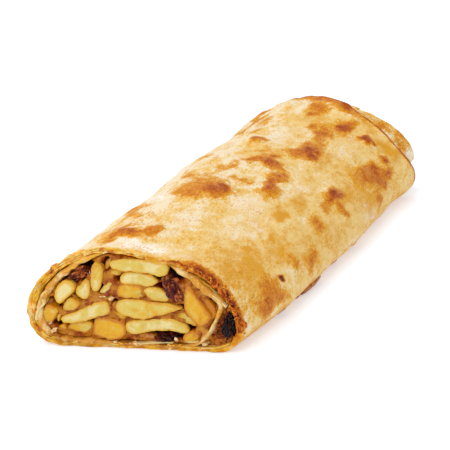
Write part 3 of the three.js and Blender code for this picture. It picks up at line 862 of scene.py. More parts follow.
browned = np.maximum(browned, np.maximum(lip_brown, 1.1 * lip_edge) * (
    0.8 + 0.3 * lumps(wrap_rings.reshape(-1, 3), 9, 62).reshape(browned.shape)))
crisp_grid = crisp_edge * np.ones(wrap_along.shape)
crisp_grid[rows_before_rim:] *= (0.35 + 0.75 * rim_shares)[:, None]
scorched_rim = ease(5, 0, wrap_along) * crisp_grid
browned = np.maximum(browned, 0.8 * scorched_rim)
golden = 0.1 + 0.34 * right_side + 0.14 * ease(110, 190, wrap_along)
golden = golden + patches(*bent, GOLDEN) + 0.4 * near_floor
golden = np.where(wrap_along < 3, np.maximum(golden, 0.75 * ease(3, 0, wrap_along)), golden)
peppered = 0.12 + 0.45 * np.sqrt(browned) + 0.3 * right_side * ease(70, 10, wrap_along)
peppered = peppered + 0.15 * ease(120, 190, wrap_along)
wrap_paint = dict(
    browned=browned, golden=golden, floured=patches(*bent, FLOURED), peppered=peppered,
    rim=off_skin, crisp=crisp_grid * 0.95,
)
outer_wrap = make_piece(
    "outer_wrap", settle(wrap_rings), stack_faces(*wrap_rings.shape[:2], True),
    baked_skin_finish, **{k: np.ravel(v) for k, v in wrap_paint.items()},
)

# %% [markdown]
# ## The tucked end
# At the far end the dough was gathered and tucked in before baking, and it peeps out of
# the lip. Gathered dough lies in pleats that turn in towards one puckered place, so the
# end is a stack of rings, shrinking to that place, and each pleat is a step that overlaps
# the next. Its open edges caught the heat and are brown.

# %% Tucked end
PUCKER = np.array([-3.0, 17.0])  # x and z of the place where the pleats meet
PLEATS = np.array([-2.9, -2.2, -1.3, -0.55, 0.2, 1.05, 1.7, 2.45])  # directions, in radians
PLEAT_SWIRL = 0.028  # how far the pleats turn for each mm from the pucker, in radians
PLUG_ROUNDING = 3.5
SLEEVE_GAP = 1.6  # between the outer wrap and the part of the end that lies inside it
TOP_FOLD = dict(x=8, y=233, reach=9, high=2.6)  # the fold that stands up at the top
end_count = 200
plug_line = at_shares(section_outline(PLUG), np.arange(end_count) / end_count)
plug_line = plug_line - outward(plug_line) * PLUG_INSET
plug_out = outward(plug_line)
sleeve_line = at_shares(section_outline(WRAP_INSIDE), np.arange(end_count) / end_count)
sleeve_line = sleeve_line - outward(sleeve_line) * SLEEVE_GAP


def pleat_height(offset):
    """How far a pleated place lies below the highest fold, in mm, and how near a fold edge."""
    reach = np.linalg.norm(offset, axis=-1)
    steps = np.sort(PLEATS)
    angle = np.arctan2(offset[..., 1], offset[..., 0]) + PLEAT_SWIRL * reach
    angle = (angle + math.pi) % (2 * math.pi) - math.pi
    place = np.searchsorted(steps, angle)
    before = steps[place - 1] - 2 * math.pi * (place == 0)
    after = steps[place % len(steps)] + 2 * math.pi * (place == len(steps))
    share = (angle - before) / (after - before)
    depth = 1.7 * share**1.6 * ease(1, 12, reach) + 3.4 * np.exp(-((reach / 5.5) ** 2))
    return depth, np.exp(-((share / 0.1) ** 2)) * ease(2, 14, reach)


end_rings = []
for y, share in zip((199, 206, 213, 218, 222), (0.0, 0.0, 0.25, 0.75, 1.0)):
    end_rings.append(at_y(sleeve_line * (1 - share) + plug_line * share, y))
for y in np.linspace(224, ROLL_LENGTH - PLUG_ROUNDING, 22):
    end_rings.append(at_y(plug_line, y))
for turn in np.linspace(0, math.pi / 2, 7)[1:]:
    line = plug_line - plug_out * PLUG_ROUNDING * (1 - math.cos(turn))
    end_rings.append(at_y(line, ROLL_LENGTH - PLUG_ROUNDING * (1 - math.sin(turn))))
for share in np.linspace(1, 0, 38)[1:-1]:
    end_rings.append(at_y(PUCKER + (line - PUCKER) * share, ROLL_LENGTH))
end_rings = np.array(end_rings)
end_flat = end_rings.reshape(-1, 3)
depth, fold_edge = pleat_height(end_flat[:, [0, 2]] - PUCKER)
on_face = ease(236, ROLL_LENGTH - 1.5, end_flat[:, 1])
end_flat[:, 1] -= (depth + 0.25 + 0.35 * (1 + lumps(end_flat, 7, 71))) * on_face
sides = ease(222, 230, end_flat[:, 1]) * ease(0.3, 5, end_flat[:, 2])
swell = 0.7 * crumple(end_flat, 9, 72) - 0.5 - 0.5 * fold_edge * on_face
swell -= 0.7 * creases(end_flat * [1, 0.3, 1], 7, 76)
from_fold = np.hypot(end_flat[:, 0] - TOP_FOLD["x"], end_flat[:, 1] - TOP_FOLD["y"])
swell += TOP_FOLD["high"] * dome(from_fold / TOP_FOLD["reach"]) * ease(20, 34, end_flat[:, 2])
end_out = np.tile(plug_out, (len(end_rings), 1))
end_flat[:, [0, 2]] += end_out * (swell * sides * (1 - 0.7 * on_face))[:, None]
patch_noise = crumple(end_flat, 11, 73)
end_paint = dict(
    browned=np.clip(0.12 + 0.5 * patch_noise + 0.7 * fold_edge * on_face, 0, 1),
    golden=np.clip(0.4 + 0.4 * lumps(end_flat, 13, 74), 0, 1),
    floured=np.clip(0.2 - 0.6 * crumple(end_flat, 8, 75), 0, 1), peppered=0.4,
    rim=0.0, crisp=0.0,
)
tucked_points, tucked_faces = capped(end_flat.reshape(end_rings.shape))
tucked_paint = {k: np.r_[np.broadcast_to(v, len(end_flat)), 0.3, 0.3] if np.ndim(v) else
                np.full(len(tucked_points), v) for k, v in end_paint.items()}
tucked_end = make_piece("tucked_end", settle(tucked_points), tucked_faces, baked_skin_finish,
                        **tucked_paint)

# %% [markdown]
# ## The inner wrap
# The turn of dough inside the last one never met dry heat. It steamed in apple juice, so
# it is soft, wet and half clear: peach where syrup shines through and whitish at the
# right. A sheet of dough follows a line in the cross-section, so one helper makes any such
# sheet: at each step of the line a loop runs out along one face, round the wavy front edge
# and back along the other. The same helper makes the loose leaves of dough later on.

# %% Dough sheets
EDGE_TURNS = np.linspace(-1, 1, 5)


def dough_sheet(line, thickness, depths, closed, wave=0.5, fray=0.6, seed=0, front=0.0):
    """A sheet of dough along a line of the cross-section: points, faces, and how near the edge.

    The thickness and how far back its front edge lies may change along the line."""
    if closed:
        side = outward(line)
    else:
        tangent = np.gradient(line, axis=0)
        tangent /= np.linalg.norm(tangent, axis=1, keepdims=True)
        side = np.stack([tangent[:, 1], -tangent[:, 0]], axis=1)
    spots = at_y(line, 0)
    edge = front + fray * crumple(spots, 5, seed, 4)
    half = thickness / 2
    turns = [(-turn, -np.mean(half) * math.sqrt(1 - turn**2)) for turn in EDGE_TURNS]
    steps = [(1, y) for y in depths[::-1]] + turns + [(-1, y) for y in depths]
    loops = []
    for offset, y in steps:
        at = spots + [0, y, 0]
        waver = wave * crumple(at, 8, seed + 5) * math.exp(-max(y, 0) / 12)
        body = offset * half * (1 + 0.35 * lumps(at, 3.5, seed + 9))
        torn_by = edge * math.exp(-max(y, 0) / 4)
        loops.append(at_y(line + side * (waver + body)[:, None], y + torn_by))
    loops = np.array(loops).transpose(1, 0, 2)
    edge_near = np.array([math.exp(-max(y, 0) / 1.5) for _, y in steps])
    nearness = np.broadcast_to(edge_near, loops.shape[:2])
    if closed:
        return loops.reshape(-1, 3), stack_faces(*loops.shape[:2], True), nearness.ravel()
    points, faces = capped(loops)
    return points, faces, np.r_[nearness.ravel(), 0, 0]


# %% Wet dough finish
def wet_dough():
    dough = Finish("wet_dough", subsurface_weight=0.3, subsurface_scale=0.003,
                   specular_ior_level=0.15, coat_weight=0.25, coat_roughness=0.16)
    dough.shader.inputs["Subsurface Radius"].default_value = (1.0, 0.55, 0.25)
    clouds, mottle, grain = dough.noise(7, 3), dough.noise(2.2, 3), dough.noise(0.8, 2)
    # Darker where the dough is juicy or toasted, and where painted shade is laid on: in the gaps and
    # under the crust.
    juicy = dough.add(dough.painted("juicy"), (clouds, 0.7), (mottle, 0.4))
    colour = dough.mix(chip(222, 190, 128), chip(200, 138, 42), dough.step(juicy, 0.1, 0.6))
    colour = dough.mix(colour, chip(140, 64, 12), dough.step(juicy, 0.6, 1.1))
    toasted = dough.add(dough.painted("toasted"), (clouds, 0.6), (mottle, 0.6), (grain, 0.3))
    colour = dough.mix(colour, chip(226, 168, 50), dough.step(toasted, 0.15, 0.5))
    colour = dough.mix(colour, chip(190, 100, 16), dough.step(toasted, 0.6, 1.0))
    colour = dough.mix(colour, chip(120, 46, 8), dough.step(toasted, 1.0, 1.4))
    dough.colour(colour)
    dough.roughness(dough.between(0.3, 0.55, mottle))
    dough.bump((mottle, 0.2), (grain, 0.08))
    return dough.material


wet_dough_finish = wet_dough()

# %% Inner wrap
SHEET_DEPTHS = np.r_[0, 0.5, 1.1, 1.9, 3, 4.5, 6.5, 9, 12, np.arange(17, 210, 10), 213.5]
DRAWN_IN = 1.5  # how much narrower it is out of sight, clear of the outer wrap's hollows, in mm
band_step = 0.65
band_line = smooth_line(INNER_WRAP, closed=True)
band_count = int(lengths_along(band_line)[-1] / band_step)
band_line = at_shares(band_line, np.arange(band_count) / band_count)
band_middle = band_line - outward(band_line) * INNER_WRAP_THICKNESS / 2
band_thick = INNER_WRAP_THICKNESS + 1.0 * ease(-8, -28, band_middle[:, 0])
band_thick += 1.1 * ease(12, 20, band_middle[:, 0]) * ease(15, 24, band_middle[:, 1])
under_top = ease(-20, -12, band_middle[:, 0]) * ease(19, 12, band_middle[:, 0])
band_front = 0.4 + 2.2 * under_top * ease(20, 34, band_middle[:, 1])
band_points, band_faces, band_edge = dough_sheet(
    band_middle, band_thick, SHEET_DEPTHS, True, wave=0.6, fray=0.6, seed=81, front=band_front)
band_x, band_z = band_points[:, 0], band_points[:, 2]
BAND_MIDDLE = np.array([-3.0, 20.0])


def draw_in(points):
    """Points of the filling, drawn in towards the middle of the roll away from the cut."""
    offset = points[:, [0, 2]] - BAND_MIDDLE
    share = DRAWN_IN * ease(10, 24, points[:, 1]) / np.maximum(np.linalg.norm(offset, axis=1), 5)
    points[:, [0, 2]] -= offset * share[:, None]
    return points


draw_in(band_points)
# Darker further back from the cut, as painted shade in the gap, and towards the bottom; darker again
# under the top of the crust, as painted shade.
band_juice_and_shade = 0.35 + 0.1 * ease(-15, -38, band_x) + 0.7 * ease(3, 9, band_points[:, 1])
band_juice_and_shade += 0.4 * ease(8, 3, band_z) + 0.12 * ease(14, 22, band_x) * ease(8, 16, band_z)
band_juice_and_shade += 0.7 * ease(-20, -10, band_x) * ease(20, 12, band_x) * ease(30, 38, band_z)
# Toasted colours along the top front edge, under the crust: painted shade.
band_toast_and_shade = 0.5 * band_edge * ease(-30, -16, band_x) * ease(34, 10, band_x) * ease(30, 40, band_z)
inner_wrap = make_piece("inner_wrap", settle(band_points), band_faces, wet_dough_finish,
                        juicy=band_juice_and_shade, toasted=band_toast_and_shade)

# %% [markdown]
# ## The syrup and the slices of apple
# The filling is sliced apple that cooked down in its own syrup. The syrup with soft apple
# in it is one body, a core with a lumpy face; the slices stand in it. They were cut by
# hand and no two are alike, so each has a short outline of its own, in real sizes. A stack
# of rings makes it solid: from its back along its sides, round a crisp front edge and over
# its face. The knife left the faces nearly in one plane, but a few degrees of tilt on each
# catches the light differently, as the real ones do. The bits that went soft are rounded
# bars, set a little back.

# %% Apple finish
def apple_flesh():
    apple = Finish("apple_flesh", subsurface_weight=0.3, subsurface_scale=0.003,
                   specular_ior_level=0.12, coat_weight=0.4, coat_roughness=0.14)
    apple.shader.inputs["Subsurface Radius"].default_value = (1.0, 0.7, 0.2)
    clouds, mottle, grain = apple.noise(7, 3), apple.noise(2.4, 3), apple.noise(0.8, 2)
    # the amber tone of the flesh, and for one slice painted shade
    amber = apple.add(apple.painted("amber"), (clouds, 0.9), (mottle, 0.4))
    flesh = apple.mix(chip(214, 196, 134), chip(204, 178, 84), apple.step(amber, -0.1, 0.35))
    flesh = apple.mix(flesh, chip(208, 156, 20), apple.step(amber, 0.35, 0.85))
    flesh = apple.mix(flesh, chip(190, 116, 10), apple.step(amber, 0.95, 1.4))
    soft_edge = apple.mix(chip(208, 158, 40), chip(186, 108, 8), apple.step(amber, 0.2, 0.9))
    heart = apple.add(apple.painted("heart"), (clouds, 0.4), (mottle, 0.35), (grain, 0.2))
    colour = apple.mix(soft_edge, flesh, apple.step(heart, -0.1, 0.75))
    # browner where the soft bits soaked, and down the slices' sides as painted shade
    soaked = apple.add(apple.painted("soaked"), (mottle, 0.3), (clouds, 0.3))
    colour = apple.mix(colour, chip(190, 118, 24), apple.step(soaked, 0.25, 0.7))
    colour = apple.mix(colour, chip(112, 46, 6), apple.step(soaked, 0.75, 1.15))
    apple.colour(colour)
    apple.roughness(apple.between(0.25, 0.5, mottle))
    apple.bump((clouds, 0.3), (mottle, 0.22), (grain, 0.08))
    return apple.material


apple_finish = apple_flesh()

# %% Slices of apple
SLICES = [  # outline on the cut (x, z), how proud, turns about x and z, how amber (for one slice, painted shade)
    ([(-10.4, 37.2), (-9.6, 38.9), (-5, 39.5), (2, 39.6), (8, 39.3), (12, 38.2), (13.2, 36),
      (12.4, 33.4), (10, 32.8), (6, 33.9), (0, 34.5), (-6, 34.7), (-9.6, 35.4)], 0.6, -6, 2, 0.1),
    ([(-6.3, 31.4), (-5, 33.2), (-2, 33.9), (2, 34), (5, 33.1), (7.2, 31.7), (8.8, 29.9), (7, 28.4),
      (4.4, 27.8), (1, 29), (-3, 28.8), (-5.6, 29.3)], 0.2, -10, 3, 0.05),
    ([(-16.2, 38), (-17.4, 36), (-17.9, 32), (-18, 28), (-17.3, 25.6), (-16, 24.8), (-14.9, 25.5),
      (-14.2, 28), (-13.5, 31), (-13.4, 34), (-14.3, 36.4)], 0.8, 4, 10, 0.35),
    ([(-20, 30), (-21.4, 29), (-22.4, 27.3), (-23.9, 26), (-24, 23.8), (-23.3, 22), (-21.8, 21.1),
      (-20, 20.9), (-19.2, 22.6), (-18.9, 26), (-19.1, 29)], 0.3, 5, 8, 0.3),
    ([(-29.6, 28.9), (-26.6, 28.7), (-25, 27.2), (-24.8, 25.6), (-26.4, 23.3), (-28.5, 21.4),
      (-30.4, 18.9), (-32, 19.2), (-33.2, 21.4), (-33.1, 23.6), (-31.6, 26.8)], 0.9, -4, -6, 0.05),
    ([(-28.2, 20.5), (-26.2, 21), (-24, 20), (-22.8, 18.7), (-23.7, 17.2), (-25.5, 15.6),
      (-27.2, 14.4), (-29, 13.4), (-30.3, 13.6), (-30, 16.2), (-29.2, 18.8)], -0.4, 8, -5, 0.45),
    ([(-29.9, 12.6), (-28, 13.9), (-25.5, 14.6), (-22.5, 16), (-19, 18), (-16, 19.6), (-13, 20.3),
      (-11.4, 19.6), (-10.7, 17), (-10.9, 15), (-13, 14.2), (-16, 13.4), (-18.5, 12.2), (-22, 11.2),
      (-26, 10.5), (-28.9, 10.8)], 0.7, -5, 4, 0.12),
    ([(-36.5, 17.6), (-38.3, 14.8), (-40, 12), (-40, 10), (-38, 8.8), (-35.5, 9), (-34, 10.6),
      (-32.8, 13), (-31.6, 14.8), (-32, 16), (-34, 17.2)], -0.4, 6, -8, 0.65),
    ([(-26.6, 9.6), (-24, 10.6), (-21, 10.9), (-18.4, 10.3), (-17.5, 8.8), (-17.8, 7), (-19.5, 6),
      (-21.8, 5.9), (-24.4, 6.6), (-26.8, 7.2), (-27.4, 8.4)], -0.5, 5, 3, 0.6),
    ([(-16.4, 12.2), (-13, 12.9), (-8.5, 12.6), (-5, 11.6), (-3.3, 9.6), (-3.4, 7), (-4.8, 5),
      (-8, 4.1), (-10.6, 3.8), (-13.5, 4.7), (-16.4, 5.6), (-17, 8.6)], 0.5, -5, -4, 0.95),
    ([(-2.9, 11.4), (0, 12.7), (5, 13), (10, 13.9), (15, 13.9), (19, 12.6), (21.3, 11), (22.6, 9.2),
      (22, 8.1), (19.5, 7.9), (16, 8.8), (11, 8.9), (8, 8.6), (5.5, 8), (2.5, 7.3), (-0.6, 6.9),
      (-2.6, 8), (-3.2, 9.6)], 0.6, -4, 2, 0.12),
    ([(-7.7, 18.5), (-7, 20.6), (-4.6, 21.8), (-1, 21.8), (3, 21.5), (8, 21.2), (13, 20.9),
      (17, 20.3), (19.6, 19.3), (17.2, 18.2), (14, 17), (11, 15.9), (7.6, 14.9), (4, 13.8), (1, 14),
      (-3, 14.7), (-6, 15.7), (-7.5, 17)], 1.0, -6, -2, 0.35),
    ([(-7.6, 25.4), (-6.5, 27.9), (-3, 28.8), (0, 28.7), (2.2, 27.9), (3.2, 26.3), (3.2, 24),
      (2.2, 22.4), (-0.5, 22), (-4, 22.1), (-7, 22.8)], 0.0, 4, 0, 0.85),
    ([(3.6, 26.2), (5, 27.4), (8, 27.5), (10.5, 26.8), (12.5, 25), (13.9, 23.1), (13.2, 21.9),
      (10, 21.8), (7.2, 22.2), (5.6, 23.6), (4.3, 25)], 0.4, -8, 6, 0.2),
    ([(-9.4, 30.2), (-11.5, 28.8), (-13.5, 26.6), (-14.8, 24.6), (-14.5, 22.8), (-12.6, 22.6),
      (-11.2, 24.3), (-10.2, 26.6), (-8.9, 28.8)], -0.9, 8, 8, 0.45),
    ([(20.6, 29.6), (21.8, 29.4), (24, 25.6), (26.8, 21.8), (29.6, 18.8), (31.4, 16.6),
      (31.2, 14.6), (29.6, 12.8), (28, 11.8), (26, 12.6), (24, 14.2), (22, 16.3), (20.4, 18.8),
      (19.9, 22), (19.9, 26)], 0.6, -4, -6, 1.0),
    # Set back and dark, this one is painted shade: it stands for the shaded side of the slice above.
    ([(20.9, 30.4), (22.6, 30.8), (24.9, 28), (26.8, 25), (29.5, 22.4), (32.4, 19.6),
      (33.1, 16.6), (31.6, 14), (28, 17.5), (24, 23.5)], -1.6, -4, -10, 1.5),
    ([(6.4, 14.3), (10, 16), (14, 17.2), (18, 17.8), (20.4, 17.8), (22.4, 16), (24.4, 13),
      (25, 11.2), (22.4, 12), (19, 13.4), (14, 14.3), (9.6, 14)], -1.2, -8, 0, 0.55),
    ([(21, 7.4), (23.5, 8.7), (26, 8.2), (27, 6), (26.2, 3.9), (23.5, 3.2), (20.6, 3.5),
      (20.1, 5.6)], -0.4, 4, 4, 0.85),
]
SOFT_BITS = [  # x, z, length, thick, tilt, how far back its face is, how amber, how soaked
    (-12.6, 36.2, 6, 2.6, 62, 2.4, 0.8, 0.4), (-9.4, 32.6, 6, 2.6, 4, 1.2, 0.7, 0.1),
    (-12.4, 30.6, 5, 2.8, 80, 1.8, 0.7, 0.35), (-16.5, 22.4, 8, 2.8, -6, 1.6, 0.4, 0.6),
    (-11.2, 21.8, 5, 2.2, 28, 1.2, 0.5, 0.35), (-8.6, 17.4, 4.5, 2.8, 85, 2.0, 0.5, 0.75),
    (-27.5, 20.6, 5, 2, 10, 1.8, 0.6, 0.5), (-6.2, 14.4, 5.4, 2.2, -28, 0.2, 0.7, 0),
    (-3, 11.6, 3.6, 3.2, 60, 1.2, 0.9, 0.6), (0.6, 24.4, 4.4, 2.2, -20, 0.1, 0.5, 0),
    (12.2, 14.8, 13, 2, 6, 2.0, 0.4, 0.65), (27.8, 7.6, 7, 4, -66, 0.9, 0.6, 0.5),
    (4, 4.6, 9, 2.6, 3, 1.6, 0.7, 0.75), (-30.4, 7.4, 4, 2.8, 8, 1.0, 0.8, 0.1),
    (-14, 4.2, 9, 2, -6, 1.8, 0.8, 0.8), (-30, 17.4, 4, 1.8, 50, 2.2, 0.7, 0.9),
    (-36.2, 17.2, 5, 2.2, 70, 1.8, 0.6, 0.8), (17.4, 22, 4.6, 2, 12, 1.6, 0.8, 0.6),
    (-4.5, 28.8, 4, 1.4, 4, 1.2, 0.9, 0.4), (-31, 12.4, 4.6, 1.4, 70, 0.6, 0.5, 0.1),
    (10.8, 30.6, 4.5, 2, -60, 1.6, 0.7, 0.8), (-21, 5.4, 8, 1.6, 4, 2.0, 0.7, 0.85),
]
SLICE_DEPTH, EDGE_ROUND, HEART_FROM, SWOLLEN = 10.5, 0.35, 1.9, 0.2
PEEL_SIDE = np.array([0.3, 0.95])  # most slices lie with the side that was under the peel up
BACK_SHARES = ((0.3, 1), (0.62, 1), (0.84, 0.97), (0.9, 0.8), (0.93, 0.55), (0.97, 0.3), (1, 0.14))


def distance_to(line, points):
    """How far each point is from the nearest point of a line."""
    return np.min(np.linalg.norm(points[:, None] - line[None], axis=2), axis=1)


def apple_slice(outline, step):
    """A slice with that outline: points from its front at y = 0, faces, and how deep inside."""
    sides = closed_line(outline)
    count = int(lengths_along(sides)[-1] / step)
    line = at_shares(sides, np.arange(count) / count)
    line = (np.roll(line, 1, axis=0) + 2 * line + np.roll(line, -1, axis=0)) / 4
    if np.cross(line - line.mean(0), np.roll(line, -1, 0) - line.mean(0)).sum() < 0:
        line = line[::-1]
    uneven = 0.25 * crumple(np.insert(line, 1, 0, axis=1), 2.6, 88)
    line = line + outward(line) * (SWOLLEN + uneven)[:, None]
    middle = line.mean(0)
    rings, hearts = [], []
    for share, back in BACK_SHARES:
        rings.append((middle + (line - middle) * share, back * SLICE_DEPTH))
        hearts.append(np.zeros(len(line)))
    smaller = outward(line)
    for turn in np.linspace(0, math.pi / 2, 6)[1:]:
        inset = EDGE_ROUND * (1 - math.cos(turn))
        rings.append((line - smaller * inset, EDGE_ROUND * (1 - math.sin(turn))))
        hearts.append(np.zeros(len(line)))
    inner_line = line - smaller * EDGE_ROUND
    for share in np.linspace(1, 0, int(3.6 / step) + 3)[1:-1]:
        ring = middle + (inner_line - middle) * share
        rings.append((ring, 0.0))
        peel_side = ((ring - middle) @ PEEL_SIDE) / np.abs((line - middle) @ PEEL_SIDE).max()
        hearts.append(np.clip(distance_to(line, ring) / HEART_FROM, 0, 1) - 0.5 * ease(0.2, 1, peel_side))
    points, faces = capped(np.array([at_y(ring, y) for ring, y in rings]))
    return points, faces, np.r_[np.concatenate(hearts), 0, 1]


OUTLINE_POWER, RIM_POWER = 2.6, 6  # superellipse exponents: 2 is an oval, more is boxier


def rounded_bar(length, thick, depth, step, taper=0.2, bow=0.3):
    """A soft bar: its points in mm round its middle, faces, and how near the rim they are."""
    steps = [max(5, round(v / step)) for v in (length, depth * 0.7, thick)]
    cube, faces = block(*steps)
    cube = np.sin(cube * math.pi / 2 * 0.8) / math.sin(math.pi / 2 * 0.8)
    a, c, b = cube.T
    reach = np.maximum(np.abs(a), np.abs(b))
    norm = (np.abs(a) ** OUTLINE_POWER + np.abs(b) ** OUTLINE_POWER) ** (1 / OUTLINE_POWER)
    pull = np.where(norm > 0, reach / np.maximum(norm, 1e-9), 1)
    rim_norm = (reach**RIM_POWER + np.abs(c) ** RIM_POWER) ** (1 / RIM_POWER)
    round_off = np.maximum(reach, np.abs(c)) / rim_norm
    a, b, c = a * pull * round_off, b * pull * round_off, c * round_off
    z = b * thick / 2 * (1 + taper * a) + bow * (1 - a * a)
    return np.stack([a * length / 2, c * depth / 2, z], axis=1), faces, reach


def turned(points, x_turn=0.0, y_turn=0.0, z_turn=0.0):
    """Points turned about the three axes, in degrees, about y first."""
    for axis, turn in (("Y", y_turn), ("X", x_turn), ("Z", z_turn)):
        points = points @ np.array(Matrix.Rotation(math.radians(turn), 3, axis)).T
    return points


hand = np.random.default_rng(8)  # sways each soft lump by a few degrees


def soft_lump(length, thick, depth, tilt, sway, rumple, size, seed, step):
    """A rumpled soft bar: its points round its middle, faces, and how near the rim they are."""
    points, faces, edge = rounded_bar(length, thick, depth, step)
    points = turned(points, hand.uniform(-sway, sway), -tilt, hand.uniform(-sway, sway))
    away = points / np.linalg.norm(points, axis=1, keepdims=True)
    return points + away * (rumple * crumple(points, size, seed))[:, None], faces, edge


slice_step = 0.55
slice_shapes = []
for i, (outline, proud, x_turn, z_turn, amber) in enumerate(SLICES):
    points, faces, heart = apple_slice(outline, slice_step)
    middle = np.mean(outline, axis=0)
    offset = points - [middle[0], 0, middle[1]]
    points = turned(offset, x_turn, 0, z_turn) + [middle[0], -proud, middle[1]]
    relief = 0.25 * lumps(points, 5, 90 + i) + 0.15 * crumple(points, 1.8, 91 + i)
    points[:, 1] += relief
    points[:, [0, 2]] += 0.2 * relief[:, None]
    # darker further back from the face, down the sides that sink between the slices: painted shade
    soaked = 0.4 * ease(1.2, 4.5, points[:, 1] + proud)
    slice_shapes.append((points, faces, dict(amber=amber, soaked=soaked, heart=heart)))
for i, (x, z, length, thick, tilt, back, amber, soak) in enumerate(SOFT_BITS):
    points, faces, edge = soft_lump(length, thick, 6, tilt, 12, 0.8, 3.5, 120 + i, slice_step)
    paint = dict(amber=amber, soaked=soak, heart=1 - edge)
    slice_shapes.append((points + [x, 3 + back, z], faces, paint))
slice_points, slice_faces, slice_paint = join_shapes(slice_shapes)
apple_slices = make_piece("apple_slices", settle(slice_points), slice_faces, apple_finish,
                          **slice_paint)

# %% [markdown]
# Between the slices lies the syrup: caramel brown where it is thin, and in the deep gaps, which
# are set back, painted nearly black as painted shade. Its face is lumpy with apple that has
# gone soft, and being wet it climbs a little at the side of each slice.

# %% Syrup finish
def syrup():
    glaze = Finish("syrup", subsurface_weight=0.1, subsurface_scale=0.002,
                   specular_ior_level=0.06, coat_weight=0.25, coat_roughness=0.08)
    glaze.shader.inputs["Subsurface Radius"].default_value = (1.0, 0.4, 0.1)
    clouds, mottle, grain = glaze.noise(5, 3), glaze.noise(1.8, 3), glaze.noise(0.7, 2)
    dark = glaze.add(glaze.painted("dark"), (clouds, 0.5), (mottle, 0.4), (grain, 0.15))
    colour = glaze.mix(chip(182, 116, 24), chip(144, 62, 6), glaze.step(dark, -0.05, 0.38))
    colour = glaze.mix(colour, chip(84, 20, 3), glaze.step(dark, 0.36, 0.6))
    # nearly black: painted shade in the deep gaps of the core
    colour = glaze.mix(colour, chip(24, 3, 2), glaze.step(dark, 0.6, 0.85))
    glaze.colour(colour)
    glaze.roughness(glaze.between(0.2, 0.45, mottle))
    glaze.bump((mottle, 0.3), (grain, 0.1))
    return glaze.material


syrup_finish = syrup()

# %% Syrup core
CORE_FRONT, CORE_BACK = 1.3, 214
CLIMB, CLIMB_WIDTH = 1.0, 0.9  # how far the syrup climbs at the side of a slice, in mm
CORE_MIDDLE = np.array([-3.0, 19.0])
SHADED_GAPS = [  # x, z, half width, half height: the deep gaps, set back and painted nearly black as painted shade
    (-24, 35.5, 6, 3), (-26.5, 31, 3, 4), (14.5, 36, 3, 4), (16.5, 32.5, 3, 3), (-25.5, 22, 3, 3),
    (-34, 18.5, 4, 2), (-13, 36.8, 1.8, 3), (22.5, 11, 2, 2.5), (12, 6.4, 10, 2.2), (-7, 31, 2, 1.5),
    (19, 18.8, 2.5, 1.2), (-15.5, 26, 2, 2), (-31, 9.5, 3, 2), (31, 20, 1.5, 5), (8, 31.8, 3, 1.5),
    (-8.5, 19, 1.5, 2), (-20.5, 10.8, 6, 1), (10.5, 28.3, 3, 1.2), (-31.5, 30.5, 2.5, 2.5),
    (-29, 16.6, 2, 1.2), (-22.6, 31.5, 1.5, 3),
]
core_step = 0.8
filling_line = band_line - outward(band_line) * (INNER_WRAP_THICKNESS + FIT_GAP)
core_count = int(lengths_along(filling_line)[-1] / core_step)
core_line = at_shares(filling_line, np.arange(core_count) / core_count)


def core_ring(share, y):
    """The filling's outline at y, drawn in to a share of its size."""
    return at_y(CORE_MIDDLE + (core_line - CORE_MIDDLE) * share, y)


core_rings = [core_ring(0.97, CORE_BACK)]
core_rings += [core_ring(1, y) for y in (213, 180, 140, 100, 60, 35, 22, 14, 9, 6, 4, 2.2)]
core_rings += [core_ring(share, CORE_FRONT) for share in np.linspace(0.985, 0.03, 34)]
core_rings = np.array(core_rings)
core_flat = core_rings.reshape(-1, 3)
front = ease(12, 4.5, core_flat[:, 1])
# how much painted shade each point of the core gets, near black in the deep gaps
gap_shade = np.zeros(len(core_flat))
for x, z, wide, high in SHADED_GAPS:
    apart = np.hypot((core_flat[:, 0] - x) / wide, (core_flat[:, 2] - z) / high) / 1.5
    gap_shade = np.maximum(gap_shade, dome(apart))
core_flat[:, 1] += front * (0.8 * crumple(core_flat, 5, 141) + 0.4 * lumps(core_flat, 1.9, 142))
core_flat[:, 1] += front * 4.5 * gap_shade
slice_edges = np.vstack([
    at_shares(closed_line(outline), np.linspace(0, 1, 80, endpoint=False))
    for outline, *_ in SLICES
])
edge_tree = KDTree(len(slice_edges))
for i, (x, z) in enumerate(slice_edges):
    edge_tree.insert((x, 0, z), i)
edge_tree.balance()
wet = np.where((front > 0) & (core_flat[:, 1] < 8))[0]
from_slice = np.array([edge_tree.find((core_flat[i, 0], 0, core_flat[i, 2]))[2] for i in wet])
climbs = CLIMB * np.exp(-((from_slice / CLIMB_WIDTH) ** 2)) * (1 - np.minimum(gap_shade[wet], 1))
core_flat[wet, 1] -= climbs
core_points, core_faces = capped(draw_in(core_flat).reshape(core_rings.shape))
syrup_core = make_piece("syrup_core", settle(core_points), core_faces, syrup_finish,
                        # dark: the syrup's tone, with painted shade in the deep gaps
                        dark=np.r_[0.14 + 1.1 * gap_shade, 0.5, 0.5])

# %% [markdown]
# ## The pocket
# Where the inner wrap turns in, it leaves a pocket under the crust. Cinnamon, sugar and
# crumbs collected there. The mass is a block pulled into the pocket's corner of the
# cross-section, and loose crumbs sit on its face: Geometry Nodes scatter a crumb over the
# points of the face, each turned and scaled at random with a fixed seed, which is quicker
# to change than placing them by hand.

# %% Cinnamon finish
def cinnamon():
    crumb = Finish("cinnamon", subsurface_weight=0.1, subsurface_scale=0.002,
                   specular_ior_level=0.15, coat_weight=0.05, coat_roughness=0.1)
    clouds, mottle, grain = crumb.noise(4, 3), crumb.noise(1.4, 3), crumb.noise(0.7, 2)
    tone = crumb.add(crumb.painted("dark"), (clouds, 0.5), (mottle, 0.5), (grain, 0.2))
    colour = crumb.mix(chip(184, 108, 32), chip(122, 48, 10), crumb.step(tone, 0.0, 0.45))
    # near black where the painted shade round the raisin is laid on
    colour = crumb.mix(colour, chip(40, 8, 4), crumb.step(tone, 0.5, 0.95))
    crumb.colour(colour)
    crumb.roughness(crumb.between(0.3, 0.6, mottle))
    crumb.bump((mottle, 0.3), (grain, 0.12))
    return crumb.material


cinnamon_finish = cinnamon()

